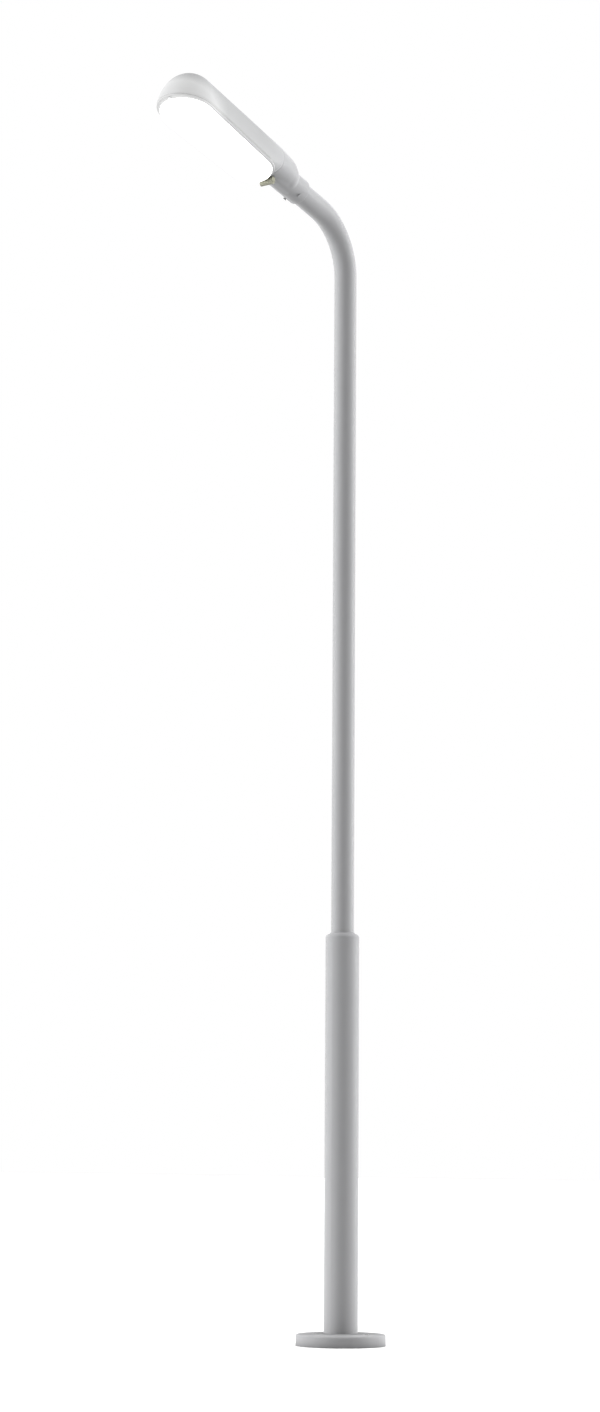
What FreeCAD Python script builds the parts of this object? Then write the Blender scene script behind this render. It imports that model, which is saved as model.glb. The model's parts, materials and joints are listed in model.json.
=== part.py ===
import FreeCAD, Part
import math
import os
from types import SimpleNamespace

import Sketcher

# Street lamp post: a stepped steel column with one bent arm and a long lantern, in millimetres.
# +Z is up, the arm reaches out along +X, and the origin is the centre of the foot on the ground.
# Lantern pieces are drawn in the lantern's own frame: X runs out along the arm, Y is across it,
# Z is square to both, and its origin is on the tube's centre line where the lantern's collar meets it.

SIZES = {
    # foot
    "plate_dia": 400, "plate_thick": 20, "cable_hole": 100,
    "bolt_circle": 300, "bolt_hole": 28, "bolt_count": 4, "bolt_phase": 45,
    "washer_dia": 50, "washer_thick": 4, "washer_bore": 25,
    "nut_width": 36, "nut_thick": 19, "nut_bore": 24,
    "weld_leg": 12, "weld_gap": 0.1,
    "cover_dia": 441, "cover_edge": 55, "cover_crown": 60, "cover_wall": 3, "cover_round": 9,
    "cover_gap": 0.5, "cover_seam": 0.1, "cover_screw_x": 18, "cover_screw_y": 150,
    "cover_screw_hole": 5.8, "cover_screw_rise": 4, "cover_screw_head": 2.5, "cover_screw_shank": 9,
    "screw_slot_long": 8, "screw_slot_wide": 1.2, "screw_slot_deep": 1.2,
    "joint_plate_len": 60, "joint_plate_wide": 30, "joint_plate_top": 53.9,
    # lower tube, shoulder and upper tube
    "base_dia": 168.3, "base_wall": 5, "base_top": 1960,
    "fit_gap": 0.3, "shoulder_top": 2007, "shoulder_round": 18, "shoulder_plug": 30,
    "shoulder_weld": 8,
    "shaft_dia": 114.3, "shaft_wall": 4, "shaft_low": 1700, "spacer_tall": 40,
    "bend_start": 5375, "bend_radius": 320, "arm_tilt": 15, "arm_stub": 150, "arm_plug": 105,
    # door in the lower tube
    "door_low": 600, "door_tall": 500, "door_wide": 100, "door_gap": 1, "door_thick": 4,
    "door_corner": 12, "gasket_inset": 3, "gasket_wide": 6, "gasket_thick": 2,
    "hinge_azimuth": 220, "hinge_ring": 90.2, "hinge_barrel": 10, "hinge_pin": 5,
    "hinge_knuckle": 30, "hinge_leaf": 3, "hinge_sweep": 25, "hinge_low": 670, "hinge_high": 970,
    "pin_gap": 0.05, "pin_fit": 0.02, "pin_head": 8, "pin_head_tall": 3,
    "lock_azimuth": 163, "lock_height": 850, "lock_dia": 14, "lock_inner": 58, "lock_outer": 87.5,
    "lock_key": 4.5, "lock_key_deep": 6, "lock_seat": 8, "rest_gap": 0.1,
    "bush_dia": 18, "bush_long": 8, "bush_flange": 24, "bush_flange_thick": 2,
    "cam_inner": 66, "cam_thick": 4, "cam_reach": 34,
    # service compartment
    "board_front": 25, "board_thick": 12, "board_wide": 110, "board_low": 640, "board_tall": 400,
    "rail_tall": 24, "rail_wide": 44, "rail_low": 700, "rail_high": 1005, "screw_dia": 5,
    "screw_head": 9, "board_screw_y": 12, "board_screw_head": 3, "board_screw_long": 28,
    "cutout_low": 880, "cutout_tall": 110, "cutout_wide": 60, "cutout_deep": 35,
    "carrier_low": 900, "carrier_tall": 70, "carrier_wide": 40, "carrier_deep": 25,
    "carrier_gap": 0.4, "carrier_plate": 6, "carrier_lap": 4, "grip_deep": 14, "grip_wide": 10,
    "grip_inset": 5, "fuse_dia": 14, "fuse_long": 50, "fuse_slot_gap": 0.5, "fuse_depth": 11,
    "gland_dia": 22, "gland_tall": 20, "cable_dia": 10, "cable_gap": 0.2,
    "block_low": 760, "block_tall": 40, "block_wide": 70, "block_deep": 20,
    "block_ways": 4, "block_screw": 8, "block_screw_deep": 5,
    "earth_y": -30, "earth_z": 690, "earth_dia": 8, "earth_long": 20, "earth_wire": 6,
    "earth_washer": 16, "earth_washer_thick": 2, "earth_washer_off": 6,
    "earth_nut": 13, "earth_nut_tall": 6, "earth_lead_side": 15, "earth_lead_drop": 34,
    "earth_lead_end": 10,
    # lantern body
    "collar_start": 20, "collar_end": 112, "collar_dia": 134, "neck_end": 300, "rim_drop": 64,
    "neck_wall": 5, "canopy_wall": 4, "seam_gap": 0.3, "collar_lap": 6,
    "clamp_out": 66, "clamp_turn": 40, "clamp_dia": 10, "clamp_long": 12, "clamp_tap": 10.2,
    "clamp_head": 16, "clamp_head_tall": 5,
    "rear_centre": 430, "rear_reach": 139, "rear_half": 126,
    "tip_centre": 935, "tip_reach": 150, "tip_half": 150, "dome_tall": 184,
    # rim frame, gasket and bowl
    "frame_inset": 1, "frame_wide": 11, "frame_nose": 29, "frame_top": 67, "frame_low": 76,
    "rabbet_low": 70, "rabbet_wide": 6, "seal_wide": 5, "seal_gap": 0.2,
    "bowl_deep": 70, "bowl_wall": 3.5,
    "bowl_hinge_u": 270, "bowl_hinge_w": 88, "bowl_pin": 10, "bowl_pin_over": 3,
    "bowl_barrel": 24, "bowl_knuckle": 36, "tongue_long": 30, "tongue_thick": 3, "tongue_gap": 0.05,
    "ear_inner": 18.5, "ear_outer": 38, "ear_long": 24, "ear_plate": 4,
    "catch_u": 1069, "catch_dia": 8, "catch_head": 16, "catch_head_tall": 4,
    "catch_cam_low": 60, "catch_cam_tall": 4, "catch_cam_wide": 7, "catch_cam_reach": 12,
    "catch_head_gap": 0.2, "catch_slot_wide": 2, "catch_slot_long": 12, "catch_slot_deep": 1.5,
    "keeper_low": 64, "keeper_thick": 3, "keeper_rear": 19, "keeper_nose": 10, "keeper_left": -22,
    "keeper_right": 24, "gate_wide": 14, "gate_gap": 3,
    # gear inside the lantern
    "tray_low": 30, "tray_thick": 3, "tray_rear": 125, "tray_front": 550, "tray_step": 330,
    "tray_taper": 30, "tray_narrow": 40, "tray_wide": 84,
    "ballast_u": 440, "ballast_v": -28, "ballast_long": 120, "ballast_wide": 68, "ballast_tall": 56,
    "coil_long": 88, "coil_wide": 76, "coil_low": 14, "coil_tall": 30,
    "ballast_foot_long": 148, "ballast_foot_wide": 44,
    "can_u": 385, "can_v": 45, "can_dia": 40, "can_long": 105, "can_stub": 8, "can_stub_long": 10,
    "ignitor_u": 532, "ignitor_v": -50, "ignitor_dia": 34, "ignitor_tall": 52,
    "head_block_u": 165, "head_block_long": 44, "head_block_wide": 60, "head_block_tall": 38,
    "head_block_ways": 3, "head_block_pitch": 18, "head_block_screw": 9, "head_block_deep": 5,
    "saddle_u": 140, "saddle_long": 14, "saddle_wide": 36, "saddle_over": 5,
    "lamp_drop": 10, "lamp_cap": 39, "lamp_neck": 38, "bulb_dia": 76, "bulb_long": 220,
    "bulb_centre": 745, "glass": 1.5, "bulb_neck_long": 60,
    "holder_u": 552, "holder_plate": 4, "holder_half": 32, "holder_top": 24, "holder_foot": 24,
    "holder_foot_left": -24, "holder_dia": 56, "holder_long": 58, "socket_u": 584,
    "socket_gap": 0.5, "cap_u": 588, "cap_long": 40, "cap_tip": 12, "cap_tip_long": 4,
    "arc_u": 700, "arc_dia": 18, "arc_long": 90, "arc_lead": 4, "arc_lead_long": 200,
    "reflector_centre": 800, "reflector_reach": 215, "reflector_half": 108, "reflector_tall": 112,
    "reflector_skin": 1.5, "reflector_drop": 58, "reflector_notch": 62,
}
# how far a cutting tool runs past the face that it cuts through
PAST = 1


class Size:
    """A number that also knows the spreadsheet expression it comes from."""

    def __init__(self, value, text):
        self.value = value
        self.text = text

    def __add__(self, other):
        return joined(self, other, "+", number(self) + number(other))

    def __radd__(self, other):
        return joined(other, self, "+", number(other) + number(self))

    def __sub__(self, other):
        return joined(self, other, "-", number(self) - number(other))

    def __rsub__(self, other):
        return joined(other, self, "-", number(other) - number(self))

    def __mul__(self, other):
        return joined(self, other, "*", number(self) * number(other))

    def __rmul__(self, other):
        return joined(other, self, "*", number(other) * number(self))

    def __truediv__(self, other):
        return joined(self, other, "/", number(self) / number(other))

    def __neg__(self):
        return Size(-self.value, f"(0 - {self.text})")


def number(item):
    return item.value if isinstance(item, Size) else float(item)


def text(item):
    if isinstance(item, Size):
        return item.text
    return f"({float(item):.10g})"


def joined(left, right, sign, value):
    return Size(value, f"({text(left)} {sign} {text(right)})")


def cosine(angle):
    return Size(math.cos(math.radians(number(angle))), f"cos({text(angle)} * 1deg)")


def sine(angle):
    return Size(math.sin(math.radians(number(angle))), f"sin({text(angle)} * 1deg)")


doc = FreeCAD.newDocument("street_lamp_post")
sheet = doc.addObject("Spreadsheet::Sheet", "sizes")
for row, (alias, value) in enumerate(SIZES.items(), start=1):
    sheet.set(f"A{row}", alias)
    sheet.set(f"B{row}", str(value))
    sheet.setAlias(f"B{row}", alias)
doc.recompute()

d = SimpleNamespace(**{name: Size(float(sheet.get(name)), f"sizes.{name}") for name in SIZES})
nodes = {}


# ---------------------------------------------------------------- document helpers

def bind(item, path, size):
    if isinstance(size, Size):
        item.setExpression(path, size.text)


def put(item, at, axis=None, angle=0):
    """Place an object, with its position and turn bound to the sheet."""
    turn = FreeCAD.Rotation(FreeCAD.Vector(*axis), number(angle)) if axis else FreeCAD.Rotation()
    item.Placement = FreeCAD.Placement(FreeCAD.Vector(*[number(c) for c in at]), turn)
    for letter, coordinate in zip("xyz", at):
        bind(item, f"Placement.Base.{letter}", coordinate)
    if axis:
        bind(item, "Placement.Rotation.Angle", angle)
    return item


HEAD_X = d.bend_radius * (1 - sine(d.arm_tilt)) + d.arm_stub * cosine(d.arm_tilt)
HEAD_Z = d.bend_start + d.bend_radius * cosine(d.arm_tilt) + d.arm_stub * sine(d.arm_tilt)


def in_head(item):
    """Carry a piece drawn in the lantern's frame to the end of the arm."""
    return put(item, (HEAD_X, 0, HEAD_Z), (0, 1, 0), -d.arm_tilt)


def keep(name, item):
    """Give a finished sub-part its own label, which also names its file."""
    item.Label = name
    nodes[name] = item
    return item


ALONG = {"x": ((0, 1, 0), 90), "y": ((1, 0, 0), -90), "z": (None, 0)}


def cylinder(name, radius, length, at=(0, 0, 0), along="z"):
    item = doc.addObject("Part::Cylinder", name)
    item.Radius = number(radius)
    item.Height = number(length)
    bind(item, "Radius", radius)
    bind(item, "Height", length)
    axis, angle = ALONG[along]
    return put(item, at, axis, angle)


def box(name, x, y, z):
    """A box from pairs of limits along X, Y and Z."""
    item = doc.addObject("Part::Box", name)
    for side, (low, high) in zip(("Length", "Width", "Height"), (x, y, z)):
        setattr(item, side, number(high) - number(low))
        if isinstance(low, Size) or isinstance(high, Size):
            bind(item, side, Size(0, f"({text(high)} - {text(low)})"))
    return put(item, (x[0], y[0], z[0]))


def prism(name, sides, width, length, at=(0, 0, 0)):
    """A bar with a regular section, sized across its flats."""
    item = doc.addObject("Part::Prism", name)
    item.Polygon = sides
    across = 2 * math.cos(math.pi / sides)
    item.Circumradius = number(width) / across
    item.Height = number(length)
    bind(item, "Circumradius", width / across)
    bind(item, "Height", length)
    return put(item, at)


def ellipsoid(name, reach, half, tall, at):
    """An ellipsoid from its half lengths along X, Y and Z."""
    item = doc.addObject("Part::Ellipsoid", name)
    for side, size in (("Radius2", reach), ("Radius3", half), ("Radius1", tall)):
        setattr(item, side, number(size))
        bind(item, side, size)
    return put(item, at)


def group(name, parts):
    item = doc.addObject("Part::Compound", name)
    item.Links = list(parts)
    return item


def fuse(name, parts):
    item = doc.addObject("Part::MultiFuse", name)
    item.Shapes = list(parts)
    return item


def cut(name, base, tools):
    """Take one or more tools away from a base."""
    item = doc.addObject("Part::Cut", name)
    item.Base = base
    item.Tool = tools[0] if len(tools) == 1 else group(f"{name}_tools", tools)
    return item


def common(name, base, tool):
    item = doc.addObject("Part::Common", name)
    item.Base = base
    item.Tool = tool
    return item


def ring(name, outer, inner, length, at=(0, 0, 0), along="z"):
    """A tube piece; the bore runs past both ends so that the cut is clean."""
    shell = cylinder(f"{name}_outer", outer, length, at, along)
    start = [coordinate - (PAST if letter == along else 0) for letter, coordinate in zip("xyz", at)]
    bore = cylinder(f"{name}_bore", inner, length + 2 * PAST, start, along)
    return cut(name, shell, [bore])


def new_sketch(body, name, plane):
    sketch = body.newObject("Sketcher::SketchObject", name)
    origin_plane = next(f for f in body.Origin.OriginFeatures if f.Role == plane)
    sketch.AttachmentSupport = [(origin_plane, "")]
    sketch.MapMode = "FlatFace"
    return sketch


def fix_point(sketch, geometry, corner, x, y):
    """Hold one point of a sketch at sheet-driven distances from the origin."""
    for kind, size in (("DistanceX", x), ("DistanceY", y)):
        place = sketch.addConstraint(
            Sketcher.Constraint(kind, -1, 1, geometry, corner, number(size)))
        bind(sketch, f"Constraints[{place}]", size)


def add_circle(sketch, radius, x=0, y=0):
    centre = FreeCAD.Vector(number(x), number(y), 0)
    circle = sketch.addGeometry(Part.Circle(centre, FreeCAD.Vector(0, 0, 1), number(radius)), False)
    fix_point(sketch, circle, 3, x, y)
    place = sketch.addConstraint(Sketcher.Constraint("Radius", circle, number(radius)))
    bind(sketch, f"Constraints[{place}]", radius)


def add_polygon(sketch, points):
    """A closed outline of straight lines through the given corners."""
    corners = [FreeCAD.Vector(number(x), number(y), 0) for x, y in points]
    first = sketch.GeometryCount
    count = len(points)
    for i, corner in enumerate(corners):
        sketch.addGeometry(Part.LineSegment(corner, corners[(i + 1) % count]), False)
    for i in range(count):
        following = first + (i + 1) % count
        sketch.addConstraint(Sketcher.Constraint("Coincident", first + i, 2, following, 1))
    for i, (x, y) in enumerate(points):
        fix_point(sketch, first + i, 1, x, y)


def pad(body, sketch, length):
    feature = body.newObject("PartDesign::Pad", f"{body.Name}_pad")
    feature.Profile = sketch
    feature.Length = number(length)
    bind(feature, "Length", length)
    doc.recompute()
    return feature


def pocket(body, sketch, length, forward):
    """Cut a sketch into a body along its normal or against it, and make sure that it cut."""
    before = body.Shape.Volume
    feature = body.newObject("PartDesign::Pocket", f"{sketch.Name}_pocket")
    feature.Profile = sketch
    feature.Length = number(length)
    bind(feature, "Length", length)
    feature.Reversed = forward
    doc.recompute()
    least_cut = 1
    if not body.Shape.Volume < before - least_cut:
        raise RuntimeError(f"{feature.Name} cuts nothing")
    return feature


def revolved(name, outline, angle=360):
    """A body turned about Z from an outline of (radius, height) points."""
    body = doc.addObject("PartDesign::Body", name)
    sketch = new_sketch(body, f"{name}_outline", "XZ_Plane")
    add_polygon(sketch, outline)
    feature = body.newObject("PartDesign::Revolution", f"{name}_turn")
    feature.Profile = sketch
    feature.ReferenceAxis = (sketch, ["V_Axis"])
    feature.Angle = angle
    doc.recompute()
    return body


def round_edge(body, edge_radius, height, radius):
    """Round the circular edge of a turned body that lies at a height."""
    shape = body.Tip.Shape
    names = []
    for index, edge in enumerate(shape.Edges, start=1):
        if not isinstance(edge.Curve, Part.Circle):
            continue
        centre = edge.Curve.Center
        misses = (math.hypot(centre.x, centre.y), edge.Curve.Radius - number(edge_radius),
                  centre.z - number(height))
        if all(abs(miss) < 0.01 for miss in misses):
            names.append(f"Edge{index}")
    feature = body.newObject("PartDesign::Fillet", f"{body.Name}_round_{len(body.Group)}")
    feature.Base = (body.Group[-2], names)
    feature.Radius = number(radius)
    bind(feature, "Radius", radius)
    body.Tip = feature
    doc.recompute()
    return feature


# ---------------------------------------------------------------- foot

def base_plate():
    body = doc.addObject("PartDesign::Body", "base_plate")
    disc = new_sketch(body, "plate_disc", "XY_Plane")
    add_circle(disc, d.plate_dia / 2)
    add_circle(disc, d.cable_hole / 2)
    pad(body, disc, d.plate_thick)
    hole = new_sketch(body, "bolt_hole", "XY_Plane")
    radius = d.bolt_circle / 2
    add_circle(hole, d.bolt_hole / 2, radius * cosine(d.bolt_phase), radius * sine(d.bolt_phase))
    one_hole = pocket(body, hole, d.plate_thick, True)
    pattern = body.newObject("PartDesign::PolarPattern", "bolt_holes")
    pattern.Originals = [one_hole]
    pattern.Axis = (disc, ["N_Axis"])
    pattern.Angle = 360
    pattern.Occurrences = int(number(d.bolt_count))
    bind(pattern, "Occurrences", d.bolt_count)
    body.Tip = pattern
    keep("base_plate", body)


def bolt_places():
    """The centres of the bolt holes, one after another round the plate."""
    for turn in range(int(number(d.bolt_count))):
        angle = d.bolt_phase + turn * 360 / number(d.bolt_count)
        yield d.bolt_circle / 2 * cosine(angle), d.bolt_circle / 2 * sine(angle)


def anchor_fasteners():
    washers, nuts = [], []
    washer_top = d.plate_thick + d.washer_thick
    for turn, (x, y) in enumerate(bolt_places(), start=1):
        washers.append(ring(f"washer_{turn}", d.washer_dia / 2, d.washer_bore / 2,
                            d.washer_thick, (x, y, d.plate_thick)))
        blank = prism(f"nut_{turn}_blank", 6, d.nut_width, d.nut_thick, (x, y, washer_top))
        bore = cylinder(f"nut_{turn}_bore", d.nut_bore / 2, d.nut_thick + 2 * PAST,
                        (x, y, washer_top - PAST))
        nuts.append(cut(f"nut_{turn}", blank, [bore]))
    keep("anchor_washers", group("washer_set", washers))
    keep("anchor_nuts", group("nut_set", nuts))


def base_weld():
    inner = d.base_dia / 2 + d.weld_gap
    low = d.plate_thick
    outline = [(inner, low), (inner + d.weld_leg, low), (inner, low + d.weld_leg)]
    keep("base_weld", revolved("base_weld", outline))


def base_cover():
    """Two half shells that hide the plate and its bolts, split on the Y axis."""
    rim = d.cover_dia / 2
    inner = d.base_dia / 2 + d.cover_gap
    wall = d.cover_wall
    outline = [(rim - wall, 0), (rim, 0), (rim, d.cover_edge), (inner, d.cover_crown),
               (inner, d.cover_crown - wall), (rim - wall, d.cover_edge - wall)]
    seam_angle = number(d.cover_seam)
    for name, start in (("base_cover_front", -90), ("base_cover_rear", 90)):
        body = revolved(name, outline, 180 - 2 * seam_angle)
        round_edge(body, rim, d.cover_edge, d.cover_round)
        round_edge(body, rim - wall, d.cover_edge - wall, d.cover_round - wall)
        put(body, (0, 0, 0), (0, 0, 1), start + seam_angle)
        side = 1 if "front" in name else -1
        holes = [cylinder(f"{name}_hole_{end}", d.cover_screw_hole / 2, d.cover_crown,
                          (side * d.cover_screw_x, end * d.cover_screw_y, d.cover_edge / 2))
                 for end in (-1, 1)]
        keep(name, cut(f"{name}_drilled", body, holes))


def cover_fixings():
    """Plates under the cover's seam, and the screws that draw both halves down to them."""
    plates, screws = [], []
    top = d.joint_plate_top
    half = d.joint_plate_len / 2
    for end in (-1, 1):
        middle = end * d.cover_screw_y
        places = [(side * d.cover_screw_x, middle) for side in (-1, 1)]
        blank = box(f"joint_plate_blank_{end}", (-half, half),
                    (middle - d.joint_plate_wide / 2, middle + d.joint_plate_wide / 2),
                    (top - d.cover_wall, top))
        holes = [cylinder(f"joint_plate_hole_{end}_{n}", d.screw_dia / 2 + d.pin_gap,
                          d.cover_wall + 2 * PAST, (x, y, top - d.cover_wall - PAST))
                 for n, (x, y) in enumerate(places)]
        plates.append(cut(f"joint_plate_{end}", blank, holes))
        for n, (x, y) in enumerate(places):
            seat = top + d.cover_screw_rise
            crown = seat + d.cover_screw_head
            long, wide = d.screw_slot_long / 2, d.screw_slot_wide / 2
            head = cylinder(f"cover_screw_head_{end}_{n}", d.screw_head / 2, d.cover_screw_head,
                            (x, y, seat))
            shank = cylinder(f"cover_screw_shank_{end}_{n}", d.screw_dia / 2, d.cover_screw_shank,
                             (x, y, seat - d.cover_screw_shank))
            slot = box(f"cover_screw_slot_{end}_{n}", (x - long, x + long), (y - wide, y + wide),
                       (crown - d.screw_slot_deep, crown + PAST))
            blank = fuse(f"cover_screw_blank_{end}_{n}", [head, shank])
            screws.append(cut(f"cover_screw_{end}_{n}", blank, [slot]))
    keep("cover_joint_plates", group("joint_plate_set", plates))
    keep("cover_screws", group("cover_screw_set", screws))


# ---------------------------------------------------------------- column

def base_tube():
    body = doc.addObject("PartDesign::Body", "base_tube")
    section = new_sketch(body, "base_tube_section", "XY_Plane")
    add_circle(section, d.base_dia / 2)
    add_circle(section, d.base_dia / 2 - d.base_wall)
    pad(body, section, d.base_top - d.plate_thick)
    opening = new_sketch(body, "door_opening", "YZ_Plane")
    low = d.door_low - d.plate_thick
    high = low + d.door_tall
    side = d.door_wide / 2
    cut_corner = d.door_corner
    add_polygon(opening, [
        (-side, low + cut_corner), (cut_corner - side, low), (side - cut_corner, low),
        (side, low + cut_corner), (side, high - cut_corner), (side - cut_corner, high),
        (cut_corner - side, high), (-side, high - cut_corner)])
    pocket(body, opening, d.base_dia, False)
    put(body, (0, 0, d.plate_thick))
    keep("base_tube", body)


def shoulder_ring():
    """Reducer between the tubes: a plug in the lower tube, a rounded shoulder and a weld bead."""
    inner = d.shaft_dia / 2 + d.fit_gap
    outer = d.base_dia / 2
    plug = outer - d.base_wall - d.fit_gap
    top = d.shoulder_top
    bead = inner + d.shoulder_weld
    outline = [(inner, d.base_top - d.shoulder_plug), (plug, d.base_top - d.shoulder_plug),
               (plug, d.base_top), (outer, d.base_top), (outer, top), (bead, top),
               (inner, top + d.shoulder_weld)]
    body = revolved("shoulder_ring", outline)
    round_edge(body, outer, top, d.shoulder_round)
    keep("shoulder_ring", body)


def spacer_ring():
    inner = d.shaft_dia / 2 + d.fit_gap
    plug = d.base_dia / 2 - d.base_wall - d.fit_gap
    keep("spacer_ring", ring("spacer_ring_cut", plug, inner, d.spacer_tall, (0, 0, d.shaft_low)))


def shaft_tube():
    """The upper tube, which rises, bends and becomes the arm in one piece."""
    body = doc.addObject("PartDesign::Body", "shaft_tube")
    section = new_sketch(body, "shaft_section", "XY_Plane")
    add_circle(section, d.shaft_dia / 2)
    add_circle(section, d.shaft_dia / 2 - d.shaft_wall)
    route = new_sketch(body, "shaft_route", "XZ_Plane")
    rise = d.bend_start - d.shaft_low
    radius = d.bend_radius
    bend_x = radius * (1 - sine(d.arm_tilt))
    bend_z = rise + radius * cosine(d.arm_tilt)
    arm = d.arm_stub + d.arm_plug
    arm_x = bend_x + arm * cosine(d.arm_tilt)
    arm_z = bend_z + arm * sine(d.arm_tilt)
    turn = math.radians(90 - number(d.arm_tilt))
    centre = FreeCAD.Vector(number(radius), number(rise), 0)
    bend_end = FreeCAD.Vector(number(bend_x), number(bend_z), 0)
    arm_end = FreeCAD.Vector(number(arm_x), number(arm_z), 0)
    circle = Part.Circle(centre, FreeCAD.Vector(0, 0, 1), number(radius))
    rise_top = FreeCAD.Vector(0, number(rise), 0)
    route.addGeometry(Part.LineSegment(FreeCAD.Vector(0, 0, 0), rise_top), False)
    route.addGeometry(Part.ArcOfCircle(circle, math.pi - turn, math.pi), False)
    route.addGeometry(Part.LineSegment(bend_end, arm_end), False)
    route.addConstraint(Sketcher.Constraint("Coincident", 0, 1, -1, 1))
    fix_point(route, 0, 2, 0, rise)
    route.addConstraint(Sketcher.Constraint("Coincident", 0, 2, 1, 2))
    fix_point(route, 1, 3, radius, rise)
    route.addConstraint(Sketcher.Constraint("Coincident", 1, 1, 2, 1))
    place = route.addConstraint(Sketcher.Constraint("DistanceX", -1, 1, 2, 1, number(bend_x)))
    bind(route, f"Constraints[{place}]", bend_x)
    fix_point(route, 2, 2, arm_x, arm_z)
    pipe = body.newObject("PartDesign::AdditivePipe", "shaft_sweep")
    pipe.Profile = section
    pipe.Spine = (route, [])
    put(body, (0, 0, d.shaft_low))
    keep("shaft_tube", body)


# ---------------------------------------------------------------- door

def curved_panel(name, outer, inner, half_width, low, high):
    """A piece of tube wall on the -X side, between two upright edges."""
    wall = ring(f"{name}_wall", outer, inner, high - low, (0, 0, low))
    blank = box(f"{name}_blank", (-outer - PAST, -outer / 4), (-half_width, half_width), (low, high))
    return common(f"{name}_panel", wall, blank)


def radial(item):
    """Turn a piece drawn along +X so that it points out through the door's lock."""
    return put(item, (0, 0, 0), (0, 0, 1), d.lock_azimuth)


def door_plate():
    side = d.door_wide / 2 - d.door_gap
    low = d.door_low + d.door_gap
    high = d.door_low + d.door_tall - d.door_gap
    outer = d.base_dia / 2
    panel = curved_panel("door", outer, outer - d.door_thick, side, low, high)
    corner = d.door_corner
    trims = []
    for end, (y, z) in enumerate(((-side, low), (side, low), (side, high), (-side, high))):
        # a square bar turned by 45 degrees trims the corner to match the opening
        trim = doc.addObject("Part::Box", f"door_trim_{end}")
        edge = corner * math.sqrt(2)
        for dimension, size in (("Length", outer), ("Width", edge), ("Height", edge)):
            setattr(trim, dimension, number(size))
            bind(trim, dimension, size)
        put(trim, (-outer - PAST, y, z - corner), (1, 0, 0), 45)
        trims.append(trim)
    hole = cylinder("door_lock_hole", d.bush_dia / 2 + d.rest_gap, outer,
                    (outer / 2, 0, d.lock_height), "x")
    hole = radial(group("door_lock_hole_turned", [hole]))
    keep("door_plate", cut("door_plate_cut", panel, trims + [hole]))


def door_gasket():
    outer = d.base_dia / 2 - d.door_thick - d.weld_gap
    inner = outer - d.gasket_thick
    side = d.door_wide / 2 - d.gasket_inset
    low = d.door_low + d.gasket_inset + d.door_corner / 2
    high = d.door_low + d.door_tall - d.gasket_inset - d.door_corner / 2
    strip = curved_panel("gasket", outer, inner, side, low, high)
    wide = d.gasket_wide
    window = box("gasket_window", (-outer - PAST, 0), (wide - side, side - wide),
                 (low + wide, high - wide))
    keep("door_gasket", cut("door_gasket_cut", strip, [window]))


def sector(name, outer, inner, start, sweep, low, tall):
    """A curved strip of tube wall between two azimuths."""
    solid = cylinder(f"{name}_solid", outer, tall, (0, 0, 0))
    solid.Angle = number(sweep)
    bind(solid, "Angle", sweep)
    bore = cylinder(f"{name}_core", inner, tall + 2 * PAST, (0, 0, -PAST))
    return put(cut(name, solid, [bore]), (0, 0, low), (0, 0, 1), start)


def hinge_half(name, low, start, bore_radius):
    """One leaf with its knuckle; two of them share a pin."""
    inner = d.base_dia / 2 + d.weld_gap
    knuckle = d.hinge_knuckle
    x = d.hinge_ring * cosine(d.hinge_azimuth)
    y = d.hinge_ring * sine(d.hinge_azimuth)
    leaf = sector(f"{name}_leaf", inner + d.hinge_leaf, inner, start, d.hinge_sweep, low, knuckle)
    barrel = cylinder(f"{name}_barrel", d.hinge_barrel / 2, knuckle, (x, y, low))
    bore = cylinder(f"{name}_bore", bore_radius, knuckle + 2 * PAST, (x, y, low - PAST))
    return cut(name, fuse(f"{name}_solid", [leaf, barrel]), [bore])


def door_hinges():
    fixed, swinging, pins = [], [], []
    pin = d.hinge_pin / 2
    x = d.hinge_ring * cosine(d.hinge_azimuth)
    y = d.hinge_ring * sine(d.hinge_azimuth)
    for spot, low in (("low", d.hinge_low), ("high", d.hinge_high)):
        upper = low + d.hinge_knuckle + d.fit_gap
        fixed.append(hinge_half(f"post_leaf_{spot}", low, d.hinge_azimuth, pin + d.pin_fit))
        swinging.append(hinge_half(f"door_leaf_{spot}", upper, d.hinge_azimuth - d.hinge_sweep,
                                   pin + d.pin_gap))
        top = upper + d.hinge_knuckle + d.fit_gap
        stem = cylinder(f"pin_stem_{spot}", pin, top - low, (x, y, low))
        head = cylinder(f"pin_head_{spot}", d.pin_head / 2, d.pin_head_tall, (x, y, top))
        pins.append(fuse(f"pin_{spot}", [stem, head]))
    keep("post_hinge_leaves", group("post_leaf_pair", fixed))
    keep("door_hinge_leaves", group("door_leaf_pair", swinging))
    keep("door_hinge_pins", group("pin_pair", pins))


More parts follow.
